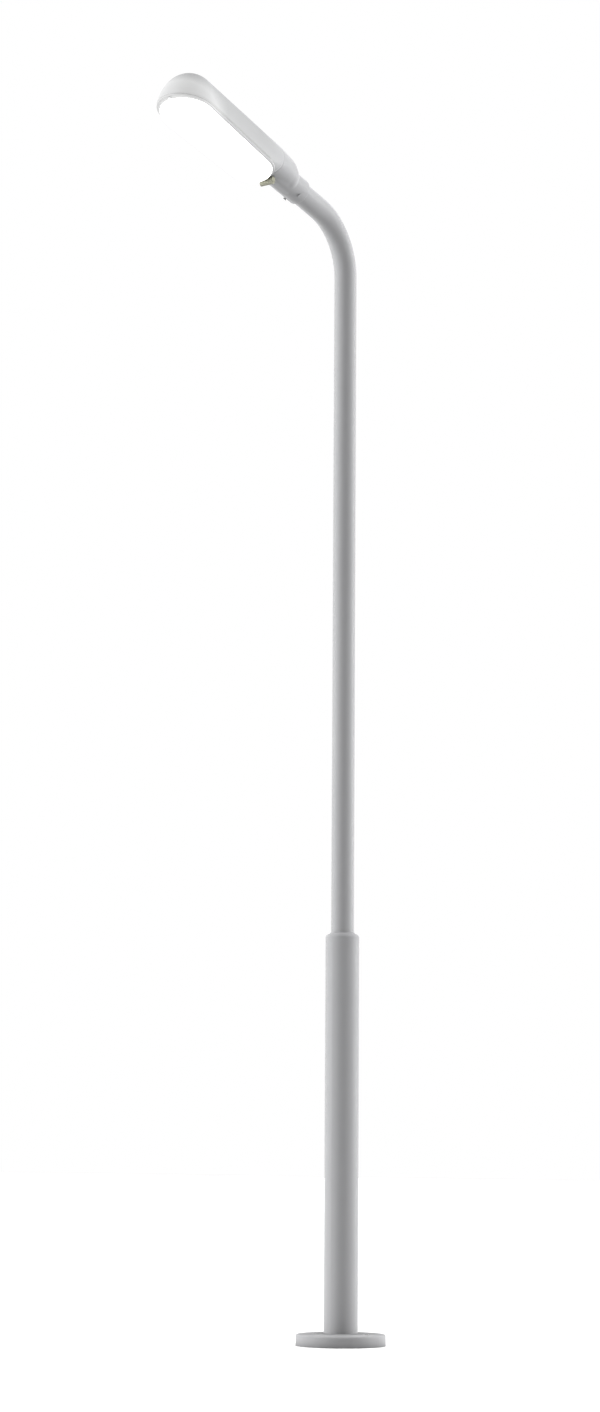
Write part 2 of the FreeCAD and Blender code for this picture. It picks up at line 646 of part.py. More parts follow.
def door_lock():
    """Bush in the door, and the turning barrel with the cam that catches behind the tube wall."""
    outer = d.base_dia / 2 + d.rest_gap
    z = d.lock_height
    flange = cylinder("bush_flange", d.bush_flange / 2, d.bush_flange_thick, (outer, 0, z), "x")
    sleeve = cylinder("bush_sleeve", d.bush_dia / 2, d.bush_long, (outer - d.bush_long, 0, z), "x")
    bore = cylinder("bush_bore", d.lock_dia / 2 + d.pin_gap, 2 * d.bush_long,
                    (outer - d.bush_long - PAST, 0, z), "x")
    bush = cut("lock_bush_cut", fuse("lock_bush_solid", [flange, sleeve]), [bore])
    keep("lock_bush", radial(bush))

    stem = cylinder("lock_stem", d.lock_dia / 2, d.lock_outer - d.lock_inner,
                    (d.lock_inner, 0, z), "x")
    key = prism("lock_key", 3, d.lock_key, d.lock_key_deep + PAST)
    key = put(key, (d.lock_outer - d.lock_key_deep, 0, z), (0, 1, 0), 90)
    seat = ring("lock_seat", d.lock_dia, d.lock_seat / 2, d.cam_thick + 2 * d.rest_gap,
                (d.cam_inner - d.rest_gap, 0, z), "x")
    keep("lock_barrel", radial(cut("lock_barrel_cut", stem, [key, seat])))

    half = d.lock_dia / 2
    blade = box("cam_blade", (d.cam_inner, d.cam_inner + d.cam_thick), (-half, half),
                (z - half, z + d.cam_reach))
    eye = cylinder("cam_eye", d.lock_seat / 2 + d.pin_fit, d.cam_thick + 2 * PAST,
                   (d.cam_inner - PAST, 0, z), "x")
    keep("lock_cam", radial(cut("lock_cam_cut", blade, [eye])))


# ---------------------------------------------------------------- service compartment

def backboard():
    front = d.board_front
    back = front + d.board_thick
    places = [(side * d.board_screw_y, z + d.rail_tall / 2)
              for z in (d.rail_low, d.rail_high) for side in (-1, 1)]
    board = box("board_blank", (front, back), (-d.board_wide / 2, d.board_wide / 2),
                (d.board_low, d.board_low + d.board_tall))
    holes = [cylinder(f"board_hole_{n}", d.screw_dia / 2 + d.rest_gap, d.board_thick + 2 * PAST,
                      (front - PAST, y, z), "x") for n, (y, z) in enumerate(places)]
    keep("backboard", cut("backboard_cut", board, holes))

    wall = d.base_dia / 2 - d.base_wall - d.rest_gap
    rails, screws = [], []
    for n, low in enumerate((d.rail_low, d.rail_high)):
        blank = box(f"rail_blank_{n}", (back, wall), (-d.rail_wide / 2, d.rail_wide / 2),
                    (low, low + d.rail_tall))
        round_wall = cylinder(f"rail_wall_{n}", wall, d.rail_tall, (0, 0, low))
        taps = [cylinder(f"rail_tap_{n}_{side}", d.screw_dia / 2 + d.rest_gap, d.board_screw_long,
                         (back - PAST, side * d.board_screw_y, low + d.rail_tall / 2), "x")
                for side in (-1, 1)]
        rails.append(cut(f"rail_{n}", common(f"rail_round_{n}", blank, round_wall), taps))
    for n, (y, z) in enumerate(places):
        head = cylinder(f"board_screw_head_{n}", d.screw_head / 2, d.board_screw_head,
                        (front - d.board_screw_head, y, z), "x")
        shank = cylinder(f"board_screw_shank_{n}", d.screw_dia / 2, d.board_screw_long,
                         (front - PAST, y, z), "x")
        screws.append(fuse(f"board_screw_{n}", [head, shank]))
    keep("backboard_rails", group("rail_pair", rails))
    keep("backboard_screws", group("board_screw_set", screws))


def fuse_unit():
    """Cut-out base with its pull-out carrier and fuse link."""
    back = d.board_front
    face = back - d.cutout_deep
    low = d.carrier_low
    high = low + d.carrier_tall
    side = d.carrier_wide / 2
    gap = d.carrier_gap
    case = box("cutout_case", (face, back), (-d.cutout_wide / 2, d.cutout_wide / 2),
               (d.cutout_low, d.cutout_low + d.cutout_tall))
    recess = box("cutout_recess", (face - PAST, face + d.carrier_deep), (-side, side), (low, high))
    keep("cutout_base", cut("cutout_base_cut", case, [recess]))

    plate_face = face - d.carrier_plate
    lap, inset = d.carrier_lap, d.grip_inset
    core = box("carrier_core", (face - PAST, face + d.carrier_deep - gap), (gap - side, side - gap),
               (low + gap, high - gap))
    plate = box("carrier_plate", (plate_face, face - gap), (-side - lap, side + lap),
                (low - lap, high + lap))
    grip = box("carrier_grip", (plate_face - d.grip_deep, plate_face),
               (-d.grip_wide / 2, d.grip_wide / 2), (low + inset, high - inset))
    middle = (low + high) / 2
    half = d.fuse_long / 2
    fuse_radius = d.fuse_dia / 2
    slot_half = fuse_radius + d.fuse_slot_gap
    slot = box("carrier_slot", (face + d.fuse_depth - slot_half, face + d.carrier_deep),
               (-slot_half, slot_half), (middle - half - d.fuse_slot_gap, middle + half + d.fuse_slot_gap))
    solid = fuse("carrier_solid", [core, plate, grip])
    keep("fuse_carrier", cut("fuse_carrier_cut", solid, [slot]))
    link = cylinder("fuse_stick", fuse_radius, d.fuse_long, (face + d.fuse_depth, 0, middle - half))
    keep("fuse_link", group("fuse_link_only", [link]))

    top = d.cutout_low + d.cutout_tall
    keep("cable_gland", ring("cable_gland_cut", d.gland_dia / 2, d.cable_dia / 2 + d.cable_gap,
                             d.gland_tall, (0, 0, top)))


def terminals():
    back = d.board_front
    front = back - d.block_deep
    block = box("block_blank", (front, back), (-d.block_wide / 2, d.block_wide / 2),
                (d.block_low, d.block_low + d.block_tall))
    ways = int(number(d.block_ways))
    pitch = d.block_wide / ways
    screws = [cylinder(f"block_screw_{n}", d.block_screw / 2, d.block_screw_deep + PAST,
                       (front - PAST, (n + 0.5 - ways / 2) * pitch, d.block_low + d.block_tall / 2),
                       "x") for n in range(ways)]
    keep("supply_terminals", cut("supply_terminals_cut", block, screws))

    y, z = d.earth_y, d.earth_z
    stud = cylinder("earth_rod", d.earth_dia / 2, d.earth_long, (back - d.earth_long, y, z), "x")
    washer_face = back - d.earth_washer_off
    washer = cylinder("earth_washer", d.earth_washer / 2, d.earth_washer_thick, (washer_face, y, z), "x")
    nut = prism("earth_nut", 6, d.earth_nut, d.earth_nut_tall)
    put(nut, (washer_face - d.earth_nut_tall, y, z), (0, 1, 0), 90)
    keep("earth_stud", fuse("earth_stud_solid", [stud, washer, nut]))


def swept_rod(edges, radius):
    """A round rod along a chain of edges, checked against its section times its length."""
    wire = Part.Wire(edges)
    start = edges[0].valueAt(edges[0].FirstParameter)
    heading = edges[0].tangentAt(edges[0].FirstParameter)
    profile = Part.Wire(Part.makeCircle(radius, start, heading))
    rod = wire.makePipeShell([profile], True, False)
    expected = math.pi * radius ** 2 * wire.Length
    tolerance = 0.01
    if abs(rod.Volume / expected - 1) > tolerance:
        raise RuntimeError("a cable's volume does not match its length")
    return rod


def rounded_route(points):
    """Straight runs joined by tangent arcs, each as large as its two runs allow."""
    corners = [FreeCAD.Vector(*point) for point in points]
    edges, start = [], corners[0]
    for before, corner, after in zip(corners, corners[1:], corners[2:]):
        inward = (corner - before).normalize()
        onward = (after - corner).normalize()
        turn = inward.getAngle(onward)
        share_of_run = 0.45
        setback = share_of_run * min((corner - before).Length, (after - corner).Length)
        radius = setback / math.tan(turn / 2)
        first = corner - inward * setback
        last = corner + onward * setback
        bisector = (onward - inward).normalize()
        middle = corner + bisector * (radius / math.cos(turn / 2) - radius)
        edges.append(Part.LineSegment(start, first).toShape())
        edges.append(Part.Arc(first, middle, last).toShape())
        start = last
    edges.append(Part.LineSegment(start, corners[-1]).toShape())
    return edges


def cables():
    """The lead up the inside of the tubes to the lantern, and the short earth lead."""
    top = number(d.cutout_low + d.cutout_tall)
    radius = number(d.bend_radius)
    tilt = math.radians(number(d.arm_tilt))
    start = number(d.bend_start)
    centre = FreeCAD.Vector(radius, 0, start)

    def on_bend(angle):
        return centre + FreeCAD.Vector(-math.cos(angle), 0, math.sin(angle)) * radius

    turn = math.pi / 2 - tilt
    arm = number(d.arm_stub) + number(d.head_block_u)
    arm_end = on_bend(turn) + FreeCAD.Vector(math.cos(tilt), 0, math.sin(tilt)) * arm
    bottom = FreeCAD.Vector(0, 0, top)
    edges = [
        Part.LineSegment(bottom, on_bend(0)).toShape(),
        Part.Arc(on_bend(0), on_bend(turn / 2), on_bend(turn)).toShape(),
        Part.LineSegment(on_bend(turn), arm_end).toShape(),
    ]
    riser = doc.addObject("Part::Feature", "riser_cable")
    riser.Shape = swept_rod(edges, number(d.cable_dia) / 2)
    keep("riser_cable", put(riser, (0, 0, 0)))

    x = number(d.board_front) - number(d.block_deep) / 2
    foot = number(d.block_low)
    y, z = number(d.earth_y), number(d.earth_z)
    side = y + number(d.earth_lead_side)
    route = [(x, side, foot), (x, side, foot - number(d.earth_lead_drop)),
             (x, y, z + number(d.earth_lead_end))]
    earth = doc.addObject("Part::Feature", "earth_lead")
    earth.Shape = swept_rod(rounded_route(route), number(d.earth_wire) / 2)
    keep("earth_lead", put(earth, (0, 0, 0)))


# ---------------------------------------------------------------- lantern body

# How the lantern's body grows along the arm: distance out, half width, height of the widest
# line, rise above it and drop below it.
BODY_STATIONS = [
    (108, 64, 0, 64, 64),
    (135, 77, 8, 80, 72),
    (165, 84, 14, 90, 74),
    (230, 95, 8, 102, 68),
    (300, 108, -12, 126, 56),
    (365, 119, -45, 162, 46),
    (430, 126, -64, 182, 40),
    (530, 131, -64, 183, 40),
    (630, 135.5, -64, 184, 40),
    (730, 140, -64, 184, 40),
    (830, 145, -64, 184, 40),
    (900, 148.3, -64, 184, 40),
    (935, 150, -64, 184, 40),
]
CLOSING_TURNS = (15, 30, 45, 60, 72, 81, 87)


def body_station(out, half, middle, rise, drop):
    """One closed section, as a smooth curve through points of its two half ellipses."""
    points = []
    count = 24
    for step in range(count):
        angle = 2 * math.pi * step / count
        tall = rise if math.sin(angle) > 0 else drop
        points.append(FreeCAD.Vector(out, half * math.cos(angle), middle + tall * math.sin(angle)))
    curve = Part.BSplineCurve()
    curve.interpolate(points, PeriodicFlag=True)
    return Part.Wire(curve.toShape())


def closing_stations(station, reach):
    """Sections that close an end like half an ellipsoid, reaching out from one station."""
    out, half, middle, rise, drop = station
    sections = []
    for turn in CLOSING_TURNS:
        shrink = math.cos(math.radians(turn))
        sections.append((out + reach * math.sin(math.radians(turn)), half * shrink, middle,
                         rise * shrink, drop * shrink))
    return sections


def body_solid(inset):
    """The lantern's outer form, or its hollow when an inset is given."""
    stations = [(out, half - inset, middle, rise - inset, drop - inset)
                for out, half, middle, rise, drop in BODY_STATIONS]
    stations += closing_stations(stations[-1], number(d.tip_reach) - inset)
    return Part.makeLoft([body_station(*station) for station in stations], True, True)


def slab(low, high, bottom, top):
    """A wide block between two distances out and two heights, for trimming the body."""
    wide = 2 * number(d.tip_half)
    return Part.makeBox(high - low, 2 * wide, top - bottom, FreeCAD.Vector(low, -wide, bottom))


def lantern_body():
    rim = -number(d.rim_drop)
    tall = number(d.dome_tall)
    seam = number(d.neck_end)
    start = number(d.collar_end)
    end = number(d.tip_centre) + number(d.tip_reach) + PAST
    wall = number(d.neck_wall)
    outer = body_solid(0)

    hollow = body_solid(wall)
    neck = outer.common(slab(start, seam, rim, tall))
    neck = neck.cut(hollow.common(slab(start + wall, seam + PAST, rim + wall, tall)))
    collar_start = number(d.collar_start)
    lap = number(d.collar_lap)
    along = FreeCAD.Vector(1, 0, 0)
    collar = Part.makeCylinder(number(d.collar_dia) / 2, start - collar_start + lap,
                               FreeCAD.Vector(collar_start, 0, 0), along)
    bore = Part.makeCylinder(number(d.shaft_dia) / 2 + number(d.fit_gap),
                             start - collar_start + 3 * lap,
                             FreeCAD.Vector(collar_start - PAST, 0, 0), along)
    socket = neck.fuse(collar).cut(bore)
    clamp = FreeCAD.Vector(number(d.clamp_out), 0, 0)
    for side in (-1, 1):
        tap = Part.makeCylinder(number(d.clamp_tap) / 2, number(d.collar_dia), clamp,
                                FreeCAD.Vector(0, 0, -1))
        tap.rotate(clamp, along, side * number(d.clamp_turn))
        socket = socket.cut(tap)
    item = doc.addObject("Part::Feature", "neck_housing")
    item.Shape = socket
    keep("neck_housing", in_head(item))

    hollow = body_solid(number(d.canopy_wall))
    rear = seam + number(d.seam_gap)
    shell = outer.common(slab(rear, end, rim, tall))
    shell = shell.cut(hollow.common(slab(rear - PAST, end, rim - PAST, tall)))
    item = doc.addObject("Part::Feature", "canopy")
    item.Shape = shell
    keep("canopy", in_head(item))


def clamp_screws():
    """Two set screws that grip the tube from below the collar."""
    screws = []
    head_top = -d.shaft_dia / 2 - d.fit_gap - d.clamp_long
    for n, side in enumerate((-1, 1)):
        stem = cylinder(f"clamp_stem_{n}", d.clamp_dia / 2, d.clamp_long, (d.clamp_out, 0, head_top))
        head = prism(f"clamp_head_{n}", 6, d.clamp_head, d.clamp_head_tall,
                     (d.clamp_out, 0, head_top - d.clamp_head_tall))
        screw = fuse(f"clamp_screw_{n}", [stem, head])
        screws.append(put(screw, (0, 0, 0), (1, 0, 0), side * d.clamp_turn))
    keep("clamp_screws", in_head(group("clamp_screw_pair", screws)))


# ---------------------------------------------------------------- rim frame, gasket and bowl

def racetrack(side, nose, tail, height):
    """The lantern's plan outline drawn in by side, nose and tail insets, as a closed wire."""
    rear_u, tip_u = number(d.rear_centre), number(d.tip_centre)
    rear_half = number(d.rear_half) - side
    tip_half = number(d.tip_half) - side
    rear_reach = number(d.rear_reach) - tail
    tip_reach = number(d.tip_reach) - nose

    def half_ellipse(centre, reach, half, start, stop):
        """Half an ellipse across the lantern, drawn from a unit circle stretched both ways."""
        arc = Part.makeCircle(1, FreeCAD.Vector(0, 0, 0), FreeCAD.Vector(0, 0, 1), start, stop)
        stretch = FreeCAD.Matrix()
        stretch.scale(reach, half, 1)
        moved = arc.transformGeometry(stretch)
        moved.translate(FreeCAD.Vector(centre, 0, height))
        return moved

    tip = half_ellipse(tip_u, tip_reach, tip_half, -90, 90)
    rear = half_ellipse(rear_u, rear_reach, rear_half, 90, 270)
    left = Part.makeLine((tip_u, tip_half, height), (rear_u, rear_half, height))
    right = Part.makeLine((rear_u, -rear_half, height), (tip_u, -tip_half, height))
    return Part.Wire([tip, left, rear, right])


def racetrack_block(side, nose, tail, low, high):
    face = Part.Face(racetrack(side, nose, tail, low))
    return face.extrude(FreeCAD.Vector(0, 0, high - low))


def bowl_form(side, nose, tail, deep, rim):
    """The bowl's lower half: elliptical sections that close in at both ends."""
    rear_u, tip_u = number(d.rear_centre), number(d.tip_centre)
    rear_half, tip_half = number(d.rear_half) - side, number(d.tip_half) - side
    rear_reach, tip_reach = number(d.rear_reach) - tail, number(d.tip_reach) - nose
    stations = closing_stations((rear_u, rear_half, rim, deep, deep), -rear_reach)[::-1]
    steps = 5
    for step in range(steps + 1):
        share = step / steps
        stations.append((rear_u + (tip_u - rear_u) * share,
                         rear_half + (tip_half - rear_half) * share, rim, deep, deep))
    stations += closing_stations((tip_u, tip_half, rim, deep, deep), tip_reach)
    form = Part.makeLoft([body_station(*station) for station in stations], True, True)
    return form.common(slab(0, 2 * tip_u, rim - 2 * deep, rim))


def bowl_parts():
    inset = number(d.frame_inset)
    wide = number(d.frame_wide)
    nose = number(d.frame_nose)
    top, low = -number(d.frame_top), -number(d.frame_low)
    rabbet = number(d.rabbet_wide)
    shelf = -number(d.rabbet_low)
    gap = number(d.fit_gap)

    ring_block = racetrack_block(inset, inset, inset, low, top)
    window = racetrack_block(inset + wide, inset + nose, inset + wide, low - PAST, top + PAST)
    step = racetrack_block(inset + wide - rabbet, inset + nose - rabbet, inset + wide - rabbet,
                           shelf, top + PAST)
    bore = Part.makeCylinder(number(d.catch_dia) / 2 + number(d.pin_gap), top - low + 2 * PAST,
                             FreeCAD.Vector(number(d.catch_u), 0, low - PAST))
    item = doc.addObject("Part::Feature", "bowl_frame")
    item.Shape = ring_block.cut([window, step, bore])
    keep("bowl_frame", in_head(item))

    thin = number(d.pin_gap)
    seal_top = -number(d.rim_drop) - number(d.seal_gap)
    seal = racetrack_block(inset, inset, inset, top + thin, seal_top)
    hole = inset + number(d.seal_wide)
    inside = racetrack_block(hole, hole, hole, top - PAST, seal_top + PAST)
    item = doc.addObject("Part::Feature", "bowl_gasket")
    item.Shape = seal.cut(inside)
    keep("bowl_gasket", in_head(item))

    side = inset + wide + gap
    nose_side = inset + nose + gap
    wall = number(d.bowl_wall)
    rise = 1
    flange = racetrack_block(side - rabbet + gap, nose_side - rabbet + gap, side - rabbet + gap,
                             shelf + thin, top - number(d.seal_gap))
    lip = racetrack_block(side, nose_side, side, low + rise, shelf + PAST)
    draw_in = side + gap
    nose_in = nose_side + gap
    outer = bowl_form(draw_in, nose_in, draw_in, number(d.bowl_deep), low + rise)
    inner = bowl_form(draw_in + wall, nose_in + wall, draw_in + wall, number(d.bowl_deep) - wall,
                      low + rise)
    mouth = racetrack_block(side + wall, nose_side + wall, side + wall, low + rise, top + PAST)
    shell = flange.fuse([lip, outer]).cut([inner, mouth])
    item = doc.addObject("Part::Feature", "bowl")
    item.Shape = shell
    keep("bowl", in_head(item))


def bowl_hinge():
    """Fixed ears under the neck, the frame's knuckle between them, and the pin."""
    u, w = d.bowl_hinge_u, -d.bowl_hinge_w
    half = d.bowl_knuckle / 2
    barrel_radius = d.bowl_barrel / 2
    pin_radius = d.bowl_pin / 2

    barrel = cylinder("bowl_knuckle_barrel", barrel_radius, d.bowl_knuckle, (u, -half, w), "y")
    tongue_top = -d.frame_low - d.tongue_gap
    tongue = box("bowl_knuckle_tongue", (u, u + d.tongue_long), (-half, half),
                 (tongue_top - d.tongue_thick, tongue_top))
    bore = cylinder("bowl_knuckle_bore", pin_radius + d.pin_gap, d.bowl_knuckle + 2 * PAST,
                    (u, -half - PAST, w), "y")
    blank = fuse("bowl_knuckle_blank", [barrel, tongue])
    keep("bowl_knuckle", in_head(cut("bowl_knuckle_cut", blank, [bore])))

    long = d.ear_long / 2
    wide = d.ear_outer - d.ear_inner
    rim = -d.rim_drop
    pieces = [box("ear_plate", (u - long, u + long), (-d.ear_outer, d.ear_outer),
                  (rim - d.ear_plate, rim))]
    for n, start in enumerate((-d.ear_outer, d.ear_inner)):
        pieces.append(cylinder(f"ear_round_{n}", long, wide, (u, start, w), "y"))
        pieces.append(box(f"ear_web_{n}", (u - long, u + long), (start, start + wide),
                          (w, rim - PAST)))
    bore = cylinder("ear_bore", pin_radius + d.pin_fit, 2 * d.ear_outer + 2 * PAST,
                    (u, -d.ear_outer - PAST, w), "y")
    keep("hinge_ears", in_head(cut("hinge_ears_cut", fuse("hinge_ears_blank", pieces), [bore])))

    over = d.ear_outer + d.bowl_pin_over
    pin = cylinder("bowl_pin_rod", pin_radius, 2 * over, (u, -over, w), "y")
    keep("bowl_hinge_pin", in_head(group("bowl_pin_only", [pin])))


def bowl_catch():
    """Quarter-turn catch in the frame's nose, and the slotted keeper above it."""
    u = d.catch_u
    low = -d.frame_low
    cam_low = -d.catch_cam_low
    radius = d.catch_dia / 2
    head_low = low - d.catch_head_tall - d.catch_head_gap
    head = cylinder("catch_knob", d.catch_head / 2, d.catch_head_tall, (u, 0, head_low))
    stem = cylinder("catch_stem", radius, cam_low + d.catch_cam_tall - head_low, (u, 0, head_low))
    half = d.catch_cam_wide / 2
    cam = box("catch_cam", (u - half, u + half), (-radius, d.catch_cam_reach),
              (cam_low, cam_low + d.catch_cam_tall))
    slot_half, slot_long = d.catch_slot_wide / 2, d.catch_slot_long / 2
    slot = box("catch_slot", (u - slot_half, u + slot_half), (-slot_long, slot_long),
               (head_low - PAST, head_low + d.catch_slot_deep))
    blank = fuse("catch_blank", [head, stem, cam])
    keep("bowl_catch", in_head(cut("bowl_catch_cut", blank, [slot])))

    keeper = -d.keeper_low
    plate = box("keeper_plate", (u - d.keeper_rear, u + d.keeper_nose), (d.keeper_left, d.keeper_right),
                (keeper, keeper + d.keeper_thick))
    gate_half, gap = d.gate_wide / 2, d.gate_gap
    gate = box("keeper_gate", (u - gate_half, u + gate_half), (-radius - gap, d.catch_cam_reach + gap),
               (keeper - PAST, keeper + d.keeper_thick + PAST))
    keep("catch_keeper", in_head(cut("catch_keeper_cut", plate, [gate])))


# ---------------------------------------------------------------- gear and lamp

def gear_tray():
    body = doc.addObject("PartDesign::Body", "gear_tray")
    outline = new_sketch(body, "tray_outline", "XY_Plane")
    narrow, wide = d.tray_narrow, d.tray_wide
    step, broad = d.tray_step, d.tray_step + d.tray_taper
    add_polygon(outline, [
        (d.tray_rear, -narrow), (step, -narrow), (broad, -wide), (d.tray_front, -wide),
        (d.tray_front, wide), (broad, wide), (step, narrow), (d.tray_rear, narrow)])
    pad(body, outline, d.tray_thick)
    plate = in_head(group("gear_tray_level", [put(body, (0, 0, -d.tray_low))]))
    keep("gear_tray", plate)


def centred(middle, size):
    """The low and high limits of a length about its middle."""
    return middle - size / 2, middle + size / 2


def control_gear():
    """Ballast, capacitor, ignitor, terminal block and cable clamp on the tray."""
    floor = -d.tray_low + d.tray_thick + d.rest_gap
    u, v = d.ballast_u, d.ballast_v
    core = box("ballast_core", centred(u, d.ballast_long), centred(v, d.ballast_wide),
               (floor, floor + d.ballast_tall))
    foot = box("ballast_foot", centred(u, d.ballast_foot_long), centred(v, d.ballast_foot_wide),
               (floor, floor + d.tray_thick))
    winding = box("ballast_winding", centred(u, d.coil_long), centred(v, d.coil_wide),
                  (floor + d.coil_low, floor + d.coil_low + d.coil_tall))
    keep("ballast", in_head(fuse("ballast_solid", [core, foot, winding])))

    can_axis = floor + d.can_dia / 2
    can = cylinder("capacitor_can", d.can_dia / 2, d.can_long, (d.can_u, d.can_v, can_axis), "x")
    stub = cylinder("capacitor_stub", d.can_stub / 2, d.can_stub_long,
                    (d.can_u - d.can_stub_long, d.can_v, can_axis), "x")
    keep("capacitor", in_head(fuse("capacitor_solid", [can, stub])))

    pot = cylinder("ignitor_pot", d.ignitor_dia / 2, d.ignitor_tall, (d.ignitor_u, d.ignitor_v, floor))
    keep("ignitor", in_head(group("ignitor_only", [pot])))

    rear, top = d.head_block_u, floor + d.head_block_tall
    middle = rear + d.head_block_long / 2
    block = box("head_block_blank", (rear, rear + d.head_block_long), centred(0, d.head_block_wide),
                (floor, top))
    ways = int(number(d.head_block_ways))
    screws = [cylinder(f"head_block_screw_{n}", d.head_block_screw / 2, d.head_block_deep + PAST,
                       (middle, (n - (ways - 1) / 2) * d.head_block_pitch, top - d.head_block_deep))
              for n in range(ways)]
    keep("lantern_terminals", in_head(cut("lantern_terminals_cut", block, screws)))

    cable = d.cable_dia / 2
    saddle = box("clamp_saddle", (d.saddle_u, d.saddle_u + d.saddle_long), centred(0, d.saddle_wide),
                 (floor, cable + d.saddle_over))
    bore = cylinder("clamp_bore", cable + d.cable_gap, d.saddle_long + 2 * PAST,
                    (d.saddle_u - PAST, 0, 0), "x")
    keep("cable_clamp", in_head(cut("cable_clamp_cut", saddle, [bore])))


def reflector():
    """A long bright trough over the lamp, open below and notched for the lampholder."""
    middle = d.reflector_centre
    centre = (middle, 0, -d.reflector_drop)
    skin = d.reflector_skin
    reach, half, tall = d.reflector_reach, d.reflector_half, d.reflector_tall
    outer = ellipsoid("reflector_outer", reach, half, tall, centre)
    inner = ellipsoid("reflector_inner", reach - skin, half - skin, tall - skin, centre)
    below = box("reflector_below", (middle - 2 * reach, middle + 2 * reach), (-2 * half, 2 * half),
                (-d.reflector_drop - 2 * tall, -d.reflector_drop))
    notch = cylinder("reflector_notch", d.reflector_notch / 2, reach / 2,
                     (d.holder_u, 0, -d.lamp_drop), "x")
    keep("reflector", in_head(cut("reflector_cut", outer, [inner, below, notch])))


def lamp():
    """Lampholder on its bracket, and the lamp: screw cap, glass envelope and arc tube."""
    axis = -d.lamp_drop
    face = d.holder_u
    floor = -d.tray_low + d.tray_thick + d.rest_gap
    cap_radius = d.lamp_cap / 2
    plate_face = face - d.holder_plate - d.rest_gap
    plate = box("holder_plate", (plate_face, face - d.rest_gap), (-d.holder_half, d.holder_half),
                (-d.tray_low, d.holder_top))
    foot = box("holder_foot", (plate_face - d.holder_foot, face - d.rest_gap),
               (d.holder_foot_left, d.holder_half), (floor, floor + d.tray_thick))
    tray = box("holder_plate_room", (plate_face - PAST, d.tray_front + d.rest_gap),
               (-d.tray_wide, d.tray_wide), (-d.tray_low - PAST, floor))
    bracket = cut("holder_bracket_cut", fuse("holder_bracket_solid", [plate, foot]), [tray])
    keep("lampholder_bracket", in_head(bracket))

    body = cylinder("holder_body", d.holder_dia / 2, d.holder_long, (face, 0, axis), "x")
    socket = cylinder("holder_socket", cap_radius + d.socket_gap, d.holder_long,
                      (d.socket_u, 0, axis), "x")
    keep("lampholder", in_head(cut("lampholder_cut", body, [socket])))

    cap = cylinder("cap_body", cap_radius, d.cap_long, (d.cap_u, 0, axis), "x")
    contact = cylinder("cap_contact", d.cap_tip / 2, d.cap_tip_long,
                       (d.cap_u - d.cap_tip_long, 0, axis), "x")
    keep("lamp_cap", in_head(fuse("lamp_cap_solid", [cap, contact])))

    middle = (d.bulb_centre, 0, axis)
    glass = d.glass
    half_long, half_wide = d.bulb_long / 2, d.bulb_dia / 2
    neck_radius = d.lamp_neck / 2
    neck_end = d.cap_u + d.cap_long + d.rest_gap
    bulb = ellipsoid("bulb_outer", half_long, half_wide, half_wide, middle)
    hollow = ellipsoid("bulb_inner", half_long - glass, half_wide - glass, half_wide - glass, middle)
    neck = cylinder("bulb_neck", neck_radius, d.bulb_neck_long, (neck_end, 0, axis), "x")
    throat = cylinder("bulb_throat", neck_radius - glass, d.bulb_neck_long + 2 * PAST,
                      (neck_end - PAST, 0, axis), "x")
    envelope = cut("lamp_envelope_cut", fuse("bulb_solid", [bulb, neck]), [
        fuse("bulb_hollow", [hollow, throat])])
    keep("lamp_envelope", in_head(envelope))

    tube = cylinder("arc_tube_body", d.arc_dia / 2, d.arc_long, (d.arc_u, 0, axis), "x")
    leads = cylinder("arc_tube_leads", d.arc_lead / 2, d.arc_lead_long,
                     (neck_end + d.rest_gap, 0, axis), "x")
    keep("arc_tube", in_head(fuse("arc_tube_solid", [tube, leads])))


# ---------------------------------------------------------------- build, check and write

def check_and_write():
    doc.recompute()
    failed = [item.Label for item in doc.Objects if {"Invalid", "Error"} & set(item.State)]
    if failed:
        raise RuntimeError(f"objects that did not build: {failed}")
    for name, item in nodes.items():
        if item.Shape.isNull() or not item.Shape.isValid() or not item.Shape.Solids:
            raise RuntimeError(f"{name} has no valid solid")
    os.makedirs("parts", exist_ok=True)
    for name, item in nodes.items():
        item.Shape.exportStep(f"parts/{name}.step")
        print(f"{name}: {len(item.Shape.Solids)} solid(s), {item.Shape.Volume / 1000:.1f} cm3")
    print(f"{len(nodes)} sub-parts")


for make in (base_plate, anchor_fasteners, base_weld, base_cover, cover_fixings, base_tube,
             shoulder_ring, spacer_ring, shaft_tube, door_plate, door_gasket, door_hinges,
             door_lock, backboard, fuse_unit, terminals, cables, lantern_body, clamp_screws,
             bowl_parts, bowl_hinge, bowl_catch, gear_tray, control_gear, reflector, lamp):
    make()
check_and_write()
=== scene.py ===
import json
import math

import bmesh
import bpy
from mathutils import Matrix, Vector


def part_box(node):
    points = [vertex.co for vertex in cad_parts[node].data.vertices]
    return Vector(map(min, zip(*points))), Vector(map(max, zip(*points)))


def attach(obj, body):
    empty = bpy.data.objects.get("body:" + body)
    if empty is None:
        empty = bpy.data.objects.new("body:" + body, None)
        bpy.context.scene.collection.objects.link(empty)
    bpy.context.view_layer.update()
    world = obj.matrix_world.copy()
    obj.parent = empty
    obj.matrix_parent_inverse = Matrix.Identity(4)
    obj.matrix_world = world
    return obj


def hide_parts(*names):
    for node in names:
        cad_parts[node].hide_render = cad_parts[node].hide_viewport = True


bl_info = {
    "name": "Street lamp post",
    "version": (1, 0, 0),
    "blender": (4, 5, 0),
    "location": "View3D > Sidebar > Lamp post",
    "description": "Finishes, lantern skins, foot cover and stage for a stepped steel lamp post",
    "category": "Object",
}

